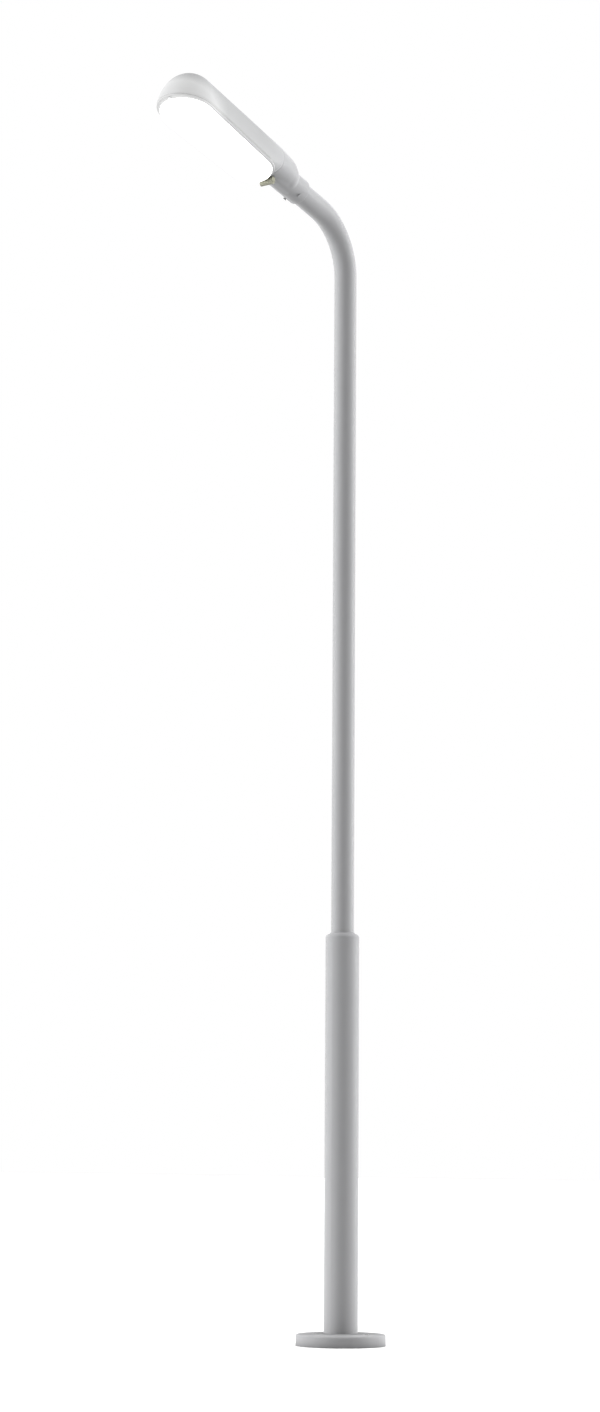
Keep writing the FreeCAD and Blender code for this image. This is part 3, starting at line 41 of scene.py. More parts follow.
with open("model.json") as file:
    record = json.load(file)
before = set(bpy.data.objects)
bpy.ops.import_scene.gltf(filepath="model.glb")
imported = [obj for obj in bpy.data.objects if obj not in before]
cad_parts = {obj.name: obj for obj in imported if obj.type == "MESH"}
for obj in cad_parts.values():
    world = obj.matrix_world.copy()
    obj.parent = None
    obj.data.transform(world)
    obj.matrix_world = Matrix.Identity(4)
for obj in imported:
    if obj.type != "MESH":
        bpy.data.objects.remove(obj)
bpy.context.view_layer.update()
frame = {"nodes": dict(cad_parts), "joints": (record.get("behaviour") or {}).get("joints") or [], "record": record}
JOINTS = {joint["name"]: joint for joint in frame["joints"]}

MM = 0.001

# ---------------------------------------------------------------- the lantern's own frame

# The lantern's frame runs U out along the arm, V across and W square to both.
CATCH_U, CATCH_W = 1069 * MM, -76 * MM
W_AXIS = Vector(JOINTS["bowl_catch_turn"]["axis"]).normalized()
V_AXIS = Vector((0, 1, 0))
U_AXIS = V_AXIS.cross(W_AXIS).normalized()
CATCH = Vector(JOINTS["bowl_catch_turn"]["pos_m"])
LANTERN_ORIGIN = CATCH - U_AXIS * CATCH_U - W_AXIS * CATCH_W
LANTERN = Matrix((
    (U_AXIS.x, V_AXIS.x, W_AXIS.x, LANTERN_ORIGIN.x),
    (U_AXIS.y, V_AXIS.y, W_AXIS.y, LANTERN_ORIGIN.y),
    (U_AXIS.z, V_AXIS.z, W_AXIS.z, LANTERN_ORIGIN.z),
    (0, 0, 0, 1),
))

RIM_W = -64 * MM
NECK_FRONT = 300 * MM
COLLAR_REAR = 20 * MM
REAR_CENTRE, TIP_CENTRE = 430 * MM, 935 * MM
REAR_REACH, TIP_REACH = 139 * MM, 150 * MM
REAR_HALF, TIP_HALF = 126 * MM, 150 * MM

# The collar round the arm, and where it gives way to the neck.
COLLAR_RADIUS, COLLAR_BORE = 67 * MM, 57.45 * MM
COLLAR_LIP, COLLAR_FRONT = 50 * MM, 108 * MM

# How finely the lantern's outline is divided: round each end, along each side, over an arch.
END_STEPS, SIDE_STEPS, ARCH_STEPS = 28, 20, 48

# The upper tube: its wall, its bend, and the straight parts before and inside the collar.
TUBE_WALL, BEND_RADIUS = 4 * MM, 320 * MM
ARM_STUB, ARM_LENGTH = 150 * MM, 255 * MM

# The bowl's frame: its underside, the shelf that carries the bowl, its top and its widths.
FRAME_LOW, FRAME_SHELF, FRAME_TOP = -76 * MM, -70 * MM, -67 * MM
FRAME_INSET, FRAME_WIDE, FRAME_NOSE, FRAME_STEP = 1 * MM, 11 * MM, 29 * MM, 6 * MM

FIT_GAP = 0.3 * MM

# How the lantern's body grows along the arm, in millimetres: distance out, half width,
# height of the widest line, rise above it and drop below it.
BODY_STATIONS = (
    (108, 64, 0, 64, 64),
    (135, 77, 8, 80, 72),
    (165, 84, 14, 90, 74),
    (230, 95, 8, 102, 68),
    (300, 108, -12, 126, 56),
    (365, 119, -45, 162, 46),
    (430, 126, -64, 182, 40),
    (530, 131, -64, 183, 40),
    (630, 135.5, -64, 184, 40),
    (730, 140, -64, 184, 40),
    (830, 145, -64, 184, 40),
    (935, 150, -64, 184, 40),
)


def station_at(out):
    """The body's half width, widest height, rise and drop at a distance out, in metres."""
    rows = [[value * MM for value in row] for row in BODY_STATIONS]
    index = max(i for i, row in enumerate(rows[:-1]) if row[0] <= out or i == 0)
    first, last = rows[index], rows[index + 1]
    before, after = rows[max(index - 1, 0)], rows[min(index + 2, len(rows) - 1)]
    span = last[0] - first[0]
    t = (out - first[0]) / span
    blended = []
    for column in range(1, 5):
        leaving = slope(before, last, first, last, column) * span
        arriving = slope(first, after, first, last, column) * span
        a, b = first[column], last[column]
        blended.append((2 * t ** 3 - 3 * t ** 2 + 1) * a + (t ** 3 - 2 * t ** 2 + t) * leaving
                       + (3 * t ** 2 - 2 * t ** 3) * b + (t ** 3 - t ** 2) * arriving)
    return blended


def slope(before, after, first, last, column):
    """Slope through two neighbours, kept between the slopes that keep the outline from bulging."""
    wide = (after[column] - before[column]) / (after[0] - before[0])
    near = (last[column] - first[column]) / (last[0] - first[0])
    if wide * near <= 0:
        return 0
    return math.copysign(min(abs(wide), 3 * abs(near)), near)


# ---------------------------------------------------------------- settings

def length(name, description, default):
    return bpy.props.FloatProperty(name=name, description=description, default=default,
                                   unit="LENGTH", subtype="DISTANCE")


def colour(name, description, default):
    return bpy.props.FloatVectorProperty(name=name, description=description, default=default,
                                         size=4, min=0, max=1, subtype="COLOR")


class PaintSettings(bpy.types.PropertyGroup):
    """Colours of the painted metal"""
    light: colour("Paint, light", "Colour of clean paint", (0.159, 0.160, 0.163, 1))
    dark: colour("Paint, shaded", "Colour of paint dulled by weather", (0.141, 0.142, 0.145, 1))
    # The dust colour is light: it is road dust, and also a painted highlight that lightens the foot near the
    # ground.
    dust_and_highlight: colour("Road dust", "Colour of the dust that gathers near the ground",
                 (0.160, 0.160, 0.163, 1))
    peel: length("Paint texture", "Size of the dimples in the paint", 0.004)


class LanternSettings(bpy.types.PropertyGroup):
    """Sizes and colours of the lantern's shells"""
    canopy_wall: length("Canopy wall", "Thickness of the canopy", 0.004)
    neck_wall: length("Neck wall", "Thickness of the neck casting", 0.005)
    bowl_wall: length("Bowl wall", "Thickness of the bowl", 0.0035)
    bowl_depth: length("Bowl depth", "How far the bowl hangs below its frame", 0.070)
    rim_bead: length("Rim bead", "Radius of the rolled edge round the canopy", 0.0025)
    canopy: colour("Canopy", "Colour of the translucent canopy", (0.098, 0.099, 0.101, 1))
    bowl: colour("Bowl", "Colour of the lit bowl", (1, 1, 0.99, 1))
    bowl_glow: bpy.props.FloatProperty(name="Bowl glow", default=1.6, min=0,
                                       description="Brightness of the lit bowl")
    canopy_glow: bpy.props.FloatProperty(name="Canopy glow", default=0.41, min=0,
                                         description="Brightness of light through the canopy")


class FootSettings(bpy.types.PropertyGroup):
    """Sizes of the foot cover"""
    rounding: length("Edge rounding", "Radius of the cover's top edge", 0.009)
    wall: length("Cover wall", "Thickness of the cover", 0.003)


class StageSettings(bpy.types.PropertyGroup):
    """Camera and light"""
    distance: length("Camera distance", "Distance from the post along the ground", 15)
    height: length("Camera height", "Height of the camera above the ground", 0.971)
    heading: bpy.props.FloatProperty(name="Heading", default=math.radians(53.1),
                                     subtype="ANGLE",
                                     description="Direction of the camera from the arm")
    pitch: bpy.props.FloatProperty(name="Pitch", default=math.radians(8.28), subtype="ANGLE",
                                   description="How far the camera looks up")
    roll: bpy.props.FloatProperty(name="Roll", default=math.radians(0.38), subtype="ANGLE",
                                  description="Tilt of the camera")
    side: length("Camera side", "How far the camera stands aside of the post", -0.219)
    lens: bpy.props.FloatProperty(name="Lens", default=76.8, description="Focal length in mm")
    left_light: bpy.props.FloatProperty(name="Left light", default=11.6, min=0,
                                        description="Strength of the light from the left")
    right_light: bpy.props.FloatProperty(name="Right light", default=4.3, min=0,
                                         description="Strength of the light from the right")
    rear_light: bpy.props.FloatProperty(name="Rear light", default=8.2, min=0,
                                        description="Strength of the light from right behind")
    top_light: bpy.props.FloatProperty(name="Top light", default=4.2, min=0,
                                       description="Strength of the light from above")
    softness: bpy.props.FloatProperty(name="Softness", default=math.radians(35),
                                      subtype="ANGLE", description="Width of each light")


SETTINGS = {
    "lamp_paint": PaintSettings,
    "lamp_lantern": LanternSettings,
    "lamp_foot": FootSettings,
    "lamp_stage": StageSettings,
}


# ---------------------------------------------------------------- shader expressions

class Value:
    """A shader socket that carries a number; arithmetic on it adds Math nodes."""

    def __init__(self, finish, socket):
        self.finish = finish
        self.socket = socket

    def __add__(self, other):
        return self.finish.math("ADD", self, other)

    def __radd__(self, other):
        return self.finish.math("ADD", other, self)

    def __sub__(self, other):
        return self.finish.math("SUBTRACT", self, other)

    def __rsub__(self, other):
        return self.finish.math("SUBTRACT", other, self)

    def __mul__(self, other):
        return self.finish.math("MULTIPLY", self, other)

    def __truediv__(self, other):
        return self.finish.math("DIVIDE", self, other)

    def __pow__(self, other):
        return self.finish.math("POWER", self, other)

    def clamped(self):
        return self.finish.math("MINIMUM", self.finish.math("MAXIMUM", self, 0), 1)


class Finish:
    """A procedural material built round one Principled shader."""

    def __init__(self, name, **constants):
        self.material = bpy.data.materials.new(name)
        self.material.use_nodes = True
        self.tree = self.material.node_tree
        self.shader = next(n for n in self.tree.nodes if n.type == "BSDF_PRINCIPLED")
        for socket, value in constants.items():
            self.shader.inputs[socket.replace("_", " ").title().replace("Ior", "IOR")
                               ].default_value = value

    def node(self, kind, settings=None, inputs=None):
        """Adds a node: its settings are set first, then its sockets are given values or links."""
        made = self.tree.nodes.new(kind)
        for name, value in (settings or {}).items():
            setattr(made, name, value)
        for key, value in (inputs or {}).items():
            self.feed(made.inputs[key], value)
        return made

    def feed(self, socket, value):
        if isinstance(value, Value):
            value = value.socket
        if isinstance(value, bpy.types.NodeSocket):
            self.tree.links.new(value, socket)
        else:
            socket.default_value = value

    def math(self, operation, first, second):
        made = self.node("ShaderNodeMath", {"operation": operation}, {0: first, 1: second})
        return Value(self, made.outputs[0])

    def place(self, stretch=(1, 1, 1)):
        """Positions on the piece, in metres, stretched along each axis."""
        coordinates = self.node("ShaderNodeTexCoord").outputs["Object"]
        return self.node("ShaderNodeVectorMath", {"operation": "MULTIPLY"},
                         {0: coordinates, 1: stretch}).outputs[0]

    def height(self):
        split = self.node("ShaderNodeSeparateXYZ", inputs={0: self.place()})
        return Value(self, split.outputs["Z"])

    def noise(self, scale, detail=3, stretch=(1, 1, 1), roughness=0.5):
        made = self.node("ShaderNodeTexNoise", {"noise_dimensions": "3D"}, {
            "Vector": self.place(stretch), "Scale": scale, "Detail": detail,
            "Roughness": roughness})
        return Value(self, made.outputs["Fac"])

    def cells(self, scale):
        made = self.node("ShaderNodeTexVoronoi", {"feature": "F1"}, {
            "Vector": self.place(), "Scale": scale})
        return Value(self, made.outputs["Distance"])

    def mixed(self, share, first, second):
        """A colour between two colours."""
        made = self.node("ShaderNodeMix", {"data_type": "RGBA"}, {0: share, 6: first, 7: second})
        return made.outputs[2]

    def set(self, socket, value):
        self.feed(self.shader.inputs[socket], value)

    def bump(self, pattern, depth):
        made = self.node("ShaderNodeBump", inputs={
            "Height": pattern, "Distance": depth, "Strength": 1.0})
        self.feed(self.shader.inputs["Normal"], made.outputs["Normal"])


# ---------------------------------------------------------------- finishes

def painted_steel():
    """Satin grey paint: faint dimples, rain streaks, and dust that thins out above the ground; the dust's light
    colour is also a painted highlight on the foot.
    """
    paint = bpy.context.scene.lamp_paint
    dust_and_highlight_height = 0.9
    finish = Finish("painted_steel", specular_ior_level=0.3, coat_roughness=0.25)
    cloud = finish.noise(2.2, 4)
    streaks = finish.noise(14, 3, (1, 1, 0.035))
    weather = (cloud * 0.6 + streaks * 0.5 - 0.25).clamped()
    tone = finish.mixed(weather, tuple(paint.light), tuple(paint.dark))
    # Towards the ground the paint turns rougher with less coat, as road dust would make it. It also turns lighter
    # in colour, and that lightening is partly a painted highlight on the foot.
    low = (1 - finish.height() / dust_and_highlight_height).clamped()
    dust_and_highlight_share = (low ** 2.2 * (0.35 + finish.noise(9, 5) * 0.9) * 0.55).clamped()
    finish.set("Base Color", finish.mixed(dust_and_highlight_share, tone, tuple(paint.dust_and_highlight)))
    finish.set("Roughness", 0.34 + weather * 0.14 + dust_and_highlight_share * 0.35)
    finish.set("Coat Weight", 0.12 - dust_and_highlight_share * 0.12)
    peel = finish.noise(1 / paint.peel, 2)
    grit = finish.noise(1 / (paint.peel * 0.22), 2)
    finish.bump(peel * 0.8 + grit * 0.2, 0.00025)
    return finish.material


def zinc():
    """Hot-dipped zinc with its crystal spangle."""
    finish = Finish("galvanised_steel", metallic=1.0)
    spangle = finish.cells(55)
    cloud = finish.noise(18, 4)
    share = (spangle * 0.7 + cloud * 0.6 - 0.15).clamped()
    finish.set("Base Color", finish.mixed(share, (0.47, 0.48, 0.49, 1), (0.64, 0.65, 0.66, 1)))
    finish.set("Roughness", 0.46 + spangle * 0.12)
    finish.bump(cloud, 0.0003)
    return finish.material


def bright_steel():
    """Stainless fixings with turned marks."""
    finish = Finish("bright_steel", metallic=1.0)
    marks = finish.noise(700, 2, (1, 1, 0.15))
    finish.set("Base Color", finish.mixed(marks, (0.56, 0.56, 0.57, 1), (0.68, 0.68, 0.69, 1)))
    finish.set("Roughness", 0.22 + marks * 0.2)
    finish.bump(marks, 0.00005)
    return finish.material


def moulded(name, first, second, rough):
    """A matt moulding or casting with a fine grain."""
    finish = Finish(name)
    grains = finish.noise(900, 2)
    cloud = finish.noise(30, 3)
    finish.set("Base Color", finish.mixed(cloud, (*first, 1), (*second, 1)))
    finish.set("Roughness", rough + (grains - 0.5) * 0.2)
    finish.bump(grains, 0.00006)
    return finish.material


def ceramic():
    finish = Finish("white_ceramic", coat_weight=0.6, coat_roughness=0.05)
    cloud = finish.noise(40, 3)
    finish.set("Base Color", finish.mixed(cloud, (0.78, 0.76, 0.72, 1), (0.88, 0.87, 0.84, 1)))
    finish.set("Roughness", 0.25 + cloud * 0.1)
    finish.bump(finish.noise(150, 2), 0.0001)
    return finish.material


def plywood():
    finish = Finish("board", coat_weight=0.2, coat_roughness=0.3)
    grain = finish.noise(60, 6, (1, 1, 0.06), 0.65)
    rings = finish.noise(9, 2, (1, 1, 0.12))
    share = (grain * 0.7 + rings * 0.5 - 0.1).clamped()
    finish.set("Base Color", finish.mixed(share, (0.36, 0.22, 0.11, 1), (0.62, 0.44, 0.26, 1)))
    finish.set("Roughness", 0.5 + grain * 0.15)
    finish.bump(grain, 0.0003)
    return finish.material


def brass():
    finish = Finish("brass", metallic=1.0)
    tarnish = finish.noise(80, 5)
    finish.set("Base Color", finish.mixed(tarnish, (0.72, 0.50, 0.20, 1), (0.48, 0.32, 0.14, 1)))
    finish.set("Roughness", 0.25 + tarnish * 0.3)
    finish.bump(finish.noise(600, 2), 0.00004)
    return finish.material


def earth_sheath():
    """Green sheath with yellow stripes that wind along it."""
    finish = Finish("earth_sheath", roughness=0.45)
    split = finish.node("ShaderNodeSeparateXYZ", inputs={0: finish.place()})
    along = Value(finish, split.outputs["Y"]) + Value(finish, split.outputs["Z"])
    wave = finish.math("SINE", along * 420, 0)
    share = ((wave + 0.1) * 8).clamped()
    finish.set("Base Color", finish.mixed(share, (0.10, 0.35, 0.06, 1), (0.80, 0.66, 0.05, 1)))
    finish.bump(finish.noise(500, 2), 0.00005)
    return finish.material


def mirror_sheet():
    """Bright rolled sheet with faint hammering."""
    finish = Finish("mirror_sheet", metallic=1.0)
    dimples = finish.cells(70)
    rolled = finish.noise(200, 2, (1, 0.08, 1))
    finish.set("Base Color", finish.mixed(rolled, (0.80, 0.81, 0.82, 1), (0.92, 0.92, 0.93, 1)))
    finish.set("Roughness", 0.10 + rolled * 0.1)
    finish.bump(dimples, 0.0008)
    return finish.material


def metal_can():
    finish = Finish("metal_can", metallic=1.0)
    drawn = finish.noise(300, 2, (0.05, 1, 1))
    finish.set("Base Color", finish.mixed(drawn, (0.60, 0.61, 0.62, 1), (0.76, 0.77, 0.78, 1)))
    finish.set("Roughness", 0.3 + drawn * 0.2)
    finish.bump(drawn, 0.00006)
    return finish.material


def laminated_core():
    """Varnished steel laminations stacked across the lantern."""
    finish = Finish("ballast_core", coat_weight=0.3, coat_roughness=0.3)
    split = finish.node("ShaderNodeSeparateXYZ", inputs={0: finish.place()})
    layers = finish.math("SINE", Value(finish, split.outputs["Y"]) * 3600, 0)
    cloud = finish.noise(50, 4)
    share = (layers * 0.35 + cloud * 0.6).clamped()
    finish.set("Base Color", finish.mixed(share, (0.06, 0.06, 0.065, 1), (0.19, 0.18, 0.18, 1)))
    finish.set("Roughness", 0.4 + cloud * 0.2)
    finish.bump(layers, 0.0002)
    return finish.material


def lamp_glass():
    finish = Finish("lamp_glass", ior=1.46, transmission_weight=1.0, alpha=0.35)
    smoke = finish.noise(25, 3)
    finish.set("Base Color", finish.mixed(smoke, (0.93, 0.95, 0.96, 1), (1, 1, 1, 1)))
    finish.set("Roughness", 0.02 + smoke * 0.03)
    return finish.material


def lamp_burner():
    """The sintered tube that makes the light, at its working glow."""
    finish = Finish("lamp_burner", emission_strength=4.0)
    cloud = finish.noise(90, 3)
    finish.set("Base Color", finish.mixed(cloud, (0.85, 0.82, 0.76, 1), (0.95, 0.93, 0.9, 1)))
    finish.set("Emission Color", finish.mixed(cloud, (1, 0.93, 0.80, 1), (1, 0.98, 0.92, 1)))
    finish.set("Roughness", 0.5 + cloud * 0.1)
    return finish.material


def canopy_shell():
    """Translucent glass-fibre: grey on top, with lamp light showing low down and at the tip."""
    wall_height, neck_fade = 0.175, 0.16
    tip_start, tip_span = 0.80, 0.26
    lantern = bpy.context.scene.lamp_lantern
    paint = bpy.context.scene.lamp_paint
    finish = Finish("translucent_canopy", specular_ior_level=0.4, coat_weight=0.1,
                    coat_roughness=0.3, emission_strength=lantern.canopy_glow)
    split = finish.node("ShaderNodeSeparateXYZ", inputs={0: finish.place()})
    x, z = Value(finish, split.outputs["X"]), Value(finish, split.outputs["Z"])
    out = (x - LANTERN_ORIGIN.x) * U_AXIS.x + (z - LANTERN_ORIGIN.z) * U_AXIS.z
    above = (x - LANTERN_ORIGIN.x) * W_AXIS.x + (z - LANTERN_ORIGIN.z) * W_AXIS.z - RIM_W
    low_wall = (1 - above / wall_height).clamped()
    from_neck = ((out - NECK_FRONT) / neck_fade).clamped()
    at_tip = ((out - tip_start) / tip_span).clamped()
    fibres = finish.noise(160, 5)
    glow = low_wall ** 0.6 * (0.62 + at_tip * low_wall * 1.5) * (0.9 + fibres * 0.2)
    glow = (glow * from_neck).clamped()
    cloud = finish.noise(5, 4)
    skin = finish.mixed(cloud * 0.6, tuple(lantern.canopy), (0.087, 0.088, 0.090, 1))
    finish.set("Base Color", finish.mixed(from_neck, tuple(paint.light), skin))
    finish.set("Emission Color", finish.mixed(glow, (0, 0, 0, 1), (1, 1, 0.99, 1)))
    finish.set("Roughness", 0.42 + fibres * 0.15)
    finish.bump(finish.noise(260, 3), 0.0002)
    return finish.material


def opal_bowl():
    """Opal acrylic, lit evenly from inside."""
    lantern = bpy.context.scene.lamp_lantern
    finish = Finish("frosted_bowl", coat_weight=0.3, coat_roughness=0.08,
                    emission_strength=lantern.bowl_glow)
    cloud = finish.noise(7, 3)
    finish.set("Base Color", finish.mixed(cloud, (0.93, 0.93, 0.92, 1), (0.97, 0.97, 0.96, 1)))
    finish.set("Emission Color", finish.mixed(cloud, (0.95, 0.95, 0.94, 1), tuple(lantern.bowl)))
    finish.set("Roughness", 0.22 + cloud * 0.1)
    finish.bump(finish.noise(180, 3), 0.0002)
    return finish.material


# Two colours and a roughness for each slot that is a plain moulding or casting.
MOULDINGS = {
    "hinge_casting": ((0.10, 0.10, 0.075), (0.14, 0.138, 0.105), 0.6),
    "rubber_seal": ((0.02, 0.02, 0.02), (0.045, 0.045, 0.045), 0.75),
    "pale_seal": ((0.24, 0.24, 0.24), (0.30, 0.30, 0.30), 0.6),
    "black_plastic": ((0.03, 0.03, 0.033), (0.05, 0.05, 0.05), 0.45),
    "carrier_plastic": ((0.06, 0.06, 0.07), (0.09, 0.09, 0.1), 0.3),
    "cable_sheath": ((0.04, 0.04, 0.045), (0.07, 0.07, 0.07), 0.55),
}

# What makes the finish of every other slot of the record.
FINISHES = {
    "painted_steel": painted_steel,
    "galvanised_steel": zinc,
    "bright_steel": bright_steel,
    "white_ceramic": ceramic,
    "board": plywood,
    "brass": brass,
    "earth_sheath": earth_sheath,
    "translucent_canopy": canopy_shell,
    "frosted_bowl": opal_bowl,
    "ballast_core": laminated_core,
    "metal_can": metal_can,
    "mirror_sheet": mirror_sheet,
    "lamp_glass": lamp_glass,
    "lamp_burner": lamp_burner,
}


def finish_for(slot):
    """The material of a record slot, made once."""
    made = bpy.data.materials.get(f"finish_{slot}")
    if made is None:
        made = moulded(slot, *MOULDINGS[slot]) if slot in MOULDINGS else FINISHES[slot]()
        made.name = f"finish_{slot}"
    return made


# ---------------------------------------------------------------- mesh helpers

def new_piece(name, body, slot, mesh, smooth=True):
    """A finished piece: placed in the scene, given its material, and riding on its body."""
    piece = bpy.data.objects.new(name, mesh)
    bpy.context.scene.collection.objects.link(piece)
    mesh.materials.append(finish_for(slot))
    for face in mesh.polygons:
        face.use_smooth = smooth
    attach(piece, body)
    return piece


def mesh_from_rows(name, rows, place, closed_rows=True, closed_along=False, caps=()):
    """A skin through rows of points; rows may close on themselves, and ends may be capped."""
    form = bmesh.new()
    grid = [add_loop(form, place, row) for row in rows]
    join_loops(form, grid + grid[:1] if closed_along else grid, closed_rows)
    for index in caps:
        form.faces.new(grid[index])
    bmesh.ops.remove_doubles(form, verts=form.verts, dist=1e-6)
    bmesh.ops.dissolve_degenerate(form, edges=form.edges, dist=1e-7)
    bmesh.ops.recalc_face_normals(form, faces=form.faces)
    mesh = bpy.data.meshes.new(name)
    form.to_mesh(mesh)
    form.free()
    return mesh


def rounded(points, radius, steps=6):
    """A line of corner points with its inner corners turned into arcs."""
    result = [Vector(points[0])]
    for before, corner, after in zip(points, points[1:], points[2:]):
        before, corner, after = Vector(before), Vector(corner), Vector(after)
        inward, onward = (corner - before).normalized(), (after - corner).normalized()
        turn = inward.angle(onward)
        setback = radius * math.tan(turn / 2)
        limit = 0.49 * min((corner - before).length, (after - corner).length)
        setback = min(setback, limit)
        first, last = corner - inward * setback, corner + onward * setback
        for step in range(steps + 1):
            t = step / steps
            result.append((1 - t) ** 2 * first + 2 * t * (1 - t) * corner + t ** 2 * last)
    result.append(Vector(points[-1]))
    return result


def turned(name, profile, start, sweep, segments):
    """A surface turned part of the way about Z from (radius, height) points."""
    rows = []
    for index in range(segments + 1):
        angle = start + sweep * index / segments
        rows.append([(radius * math.cos(angle), radius * math.sin(angle), height)
                     for radius, height in profile])
    return mesh_from_rows(name, rows, Matrix(), closed_rows=False)


def thicken(piece, wall):
    """Gives a skin its wall, inwards from the skin."""
    modifier = piece.modifiers.new("wall", "SOLIDIFY")
    modifier.thickness = wall
    modifier.offset = -1
    modifier.use_even_offset = True
    modifier.use_quality_normals = True


# ---------------------------------------------------------------- outlines of the lantern

def outline(side, nose, tail, height):
    """The lantern's plan outline drawn in by insets, as (point, spine point) pairs."""
    tip = (TIP_CENTRE, TIP_REACH - nose, TIP_HALF - side)
    rear = (REAR_CENTRE, REAR_REACH - tail, REAR_HALF - side)
    pairs = []
    for (centre, reach, half), (next_centre, _, next_half), start, side_sign in (
            (tip, rear, -math.pi / 2, 1), (rear, tip, math.pi / 2, -1)):
        for step in range(END_STEPS + 1):
            angle = start + math.pi * step / END_STEPS
            point = (centre + reach * math.cos(angle), half * math.sin(angle), height)
            pairs.append((Vector(point), Vector((centre, 0, height))))
        for step in range(1, SIDE_STEPS):
            share = step / SIDE_STEPS
            out = centre + (next_centre - centre) * share
            wide = half + (next_half - half) * share
            pairs.append((Vector((out, side_sign * wide, height)), Vector((out, 0, height))))
    return pairs


def outline_row(side, nose, tail, height):
    return [point for point, _ in outline(side, nose, tail, height)]


def section_row(out, shrink=1.0, station=None):
    """One arch of the canopy, from rim to rim over the top."""
    half, middle, rise, drop = station or station_at(out)
    half, rise, drop = half * shrink, rise * shrink, drop * shrink
    below = max(-1.0, min(0.0, (RIM_W - middle) / drop)) if drop > 1e-6 else 0.0
    first = math.asin(below)
    points = []
    for step in range(ARCH_STEPS + 1):
        angle = first + (math.pi - 2 * first) * step / ARCH_STEPS
        tall = rise if math.sin(angle) > 0 else drop
        height = max(RIM_W, middle + tall * math.sin(angle))
        points.append((out, half * math.cos(angle), height))
    return points


# ---------------------------------------------------------------- pieces

class LAMP_OT_neck(bpy.types.Operator):
    """Cast neck with its round collar, which holds the lantern on the arm"""
    bl_idname = "lamp.neck"
    bl_label = "Neck casting"

    def execute(self, context):
        around, rings, steps = 72, 4, 44
        lip_in, lip_round = 12 * MM, 4 * MM
        lip_front = COLLAR_REAR + COLLAR_LIP
        profile = rounded([(COLLAR_REAR + lip_in, COLLAR_BORE), (COLLAR_REAR, COLLAR_BORE),
                           (COLLAR_REAR, COLLAR_RADIUS), (lip_front, COLLAR_RADIUS)], lip_round)
        profile += [(lip_front + (COLLAR_FRONT - lip_front) * ring / rings, COLLAR_RADIUS)
                    for ring in range(1, rings + 1)]
        rows = [[(out, radius * math.cos(a), radius * math.sin(a)) for a in circle_angles(around)]
                for out, radius in profile]
        for step in range(1, steps + 1):
            out = COLLAR_FRONT + (NECK_FRONT - COLLAR_FRONT) * step / steps
            half, middle, rise, drop = station_at(out)
            row = []
            for angle in circle_angles(around):
                tall = rise if math.sin(angle) > 0 else drop
                v, w = half * math.cos(angle), middle + tall * math.sin(angle)
                reach = math.hypot(v, w)
                if reach < COLLAR_RADIUS:
                    v, w = v * COLLAR_RADIUS / reach, w * COLLAR_RADIUS / reach
                row.append((out, v, max(w, RIM_W)))
            rows.append(row)
        mesh = mesh_from_rows("neck_casting", rows, LANTERN)
        piece = new_piece("neck_casting", "column", "painted_steel", mesh)
        thicken(piece, context.scene.lamp_lantern.neck_wall)
        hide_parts("neck_housing")
        return {"FINISHED"}


def circle_angles(count):
    return [2 * math.pi * i / count for i in range(count)]


class LAMP_OT_canopy(bpy.types.Operator):
    """Translucent canopy over the lamp, with its rolled rim"""
    bl_idname = "lamp.canopy"
    bl_label = "Canopy"

    def execute(self, context):
        lantern = context.scene.lamp_lantern
        start = NECK_FRONT + FIT_GAP
        steps, turns = 70, 26
        rows = [section_row(start + (TIP_CENTRE - start) * step / steps)
                for step in range(steps + 1)]
        end = station_at(TIP_CENTRE)
        for step in range(1, turns + 1):
            angle = math.pi / 2 * step / turns
            rows.append(section_row(TIP_CENTRE + TIP_REACH * math.sin(angle),
                                    shrink=math.cos(angle), station=end))
        mesh = mesh_from_rows("canopy_shell", rows, LANTERN, closed_rows=False)
        piece = new_piece("canopy_shell", "column", "translucent_canopy", mesh)
        thicken(piece, lantern.canopy_wall)
        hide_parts("canopy")

        bead = lantern.rim_bead
        path = [Vector(row[0]) for row in rows] + [Vector(row[-1]) for row in reversed(rows[:-1])]
        add_bead("canopy_rim", path, bead, "column", "translucent_canopy",
                 Vector((0, 0, bead * 0.4)))
        return {"FINISHED"}


def add_bead(name, path, radius, body, slot, shift=Vector()):
    """A round bead along the inside of an open path in the lantern's frame."""
    count = 10
    rows = []
    for index, point in enumerate(path):
        ahead = path[min(index + 1, len(path) - 1)]
        behind = path[max(index - 1, 0)]
        along = (ahead - behind).normalized()
        up = Vector((0, 0, 1))
        side = along.cross(up).normalized()
        middle = Vector((point.x * 0.4 + 0.4, 0, point.z))
        inward = side if side.dot(point - middle) < 0 else -side
        centre = point + shift + inward * radius
        rows.append([centre + (side * math.cos(a) + up * math.sin(a)) * radius
                     for a in circle_angles(count)])
    mesh = mesh_from_rows(name, rows, LANTERN, caps=(0, -1))
    return new_piece(name, body, slot, mesh)


class LAMP_OT_bowl(bpy.types.Operator):
    """Opal bowl with its flange, which hangs in the frame"""
    bl_idname = "lamp.bowl"
    bl_label = "Bowl"

    def execute(self, context):
        lantern = context.scene.lamp_lantern
        side = FRAME_INSET + FRAME_WIDE + FIT_GAP
        nose = FRAME_INSET + FRAME_NOSE + FIT_GAP
        rim, shelf = FRAME_LOW + 1 * MM, FRAME_SHELF + 0.1 * MM
        flange, thick, rings = 5.4 * MM, 2.6 * MM, 22
        wall = lantern.bowl_wall
        rows = [outline_row(side + inset, nose + inset, side + inset, height)
                for inset, height in ((wall, shelf + thick), (-flange, shelf + thick),
                                      (-flange, shelf), (0, shelf))]
        for inset, order in ((0, range(rings + 1)), (wall, range(rings, -1, -1))):
            pairs = outline(side + inset, nose + inset, side + inset, rim)
            for ring in order:
                turn = math.pi / 2 * ring / rings
                depth = (lantern.bowl_depth - inset) * math.sin(turn)
                rows.append([spine + (point - spine) * max(math.cos(turn), 0.0)
                             - Vector((0, 0, depth)) for point, spine in pairs])
        mesh = mesh_from_rows("opal_bowl", rows, LANTERN, closed_along=True)
        piece = new_piece("opal_bowl", "bowl", "frosted_bowl", mesh)
        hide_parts("bowl")
        return {"FINISHED"}


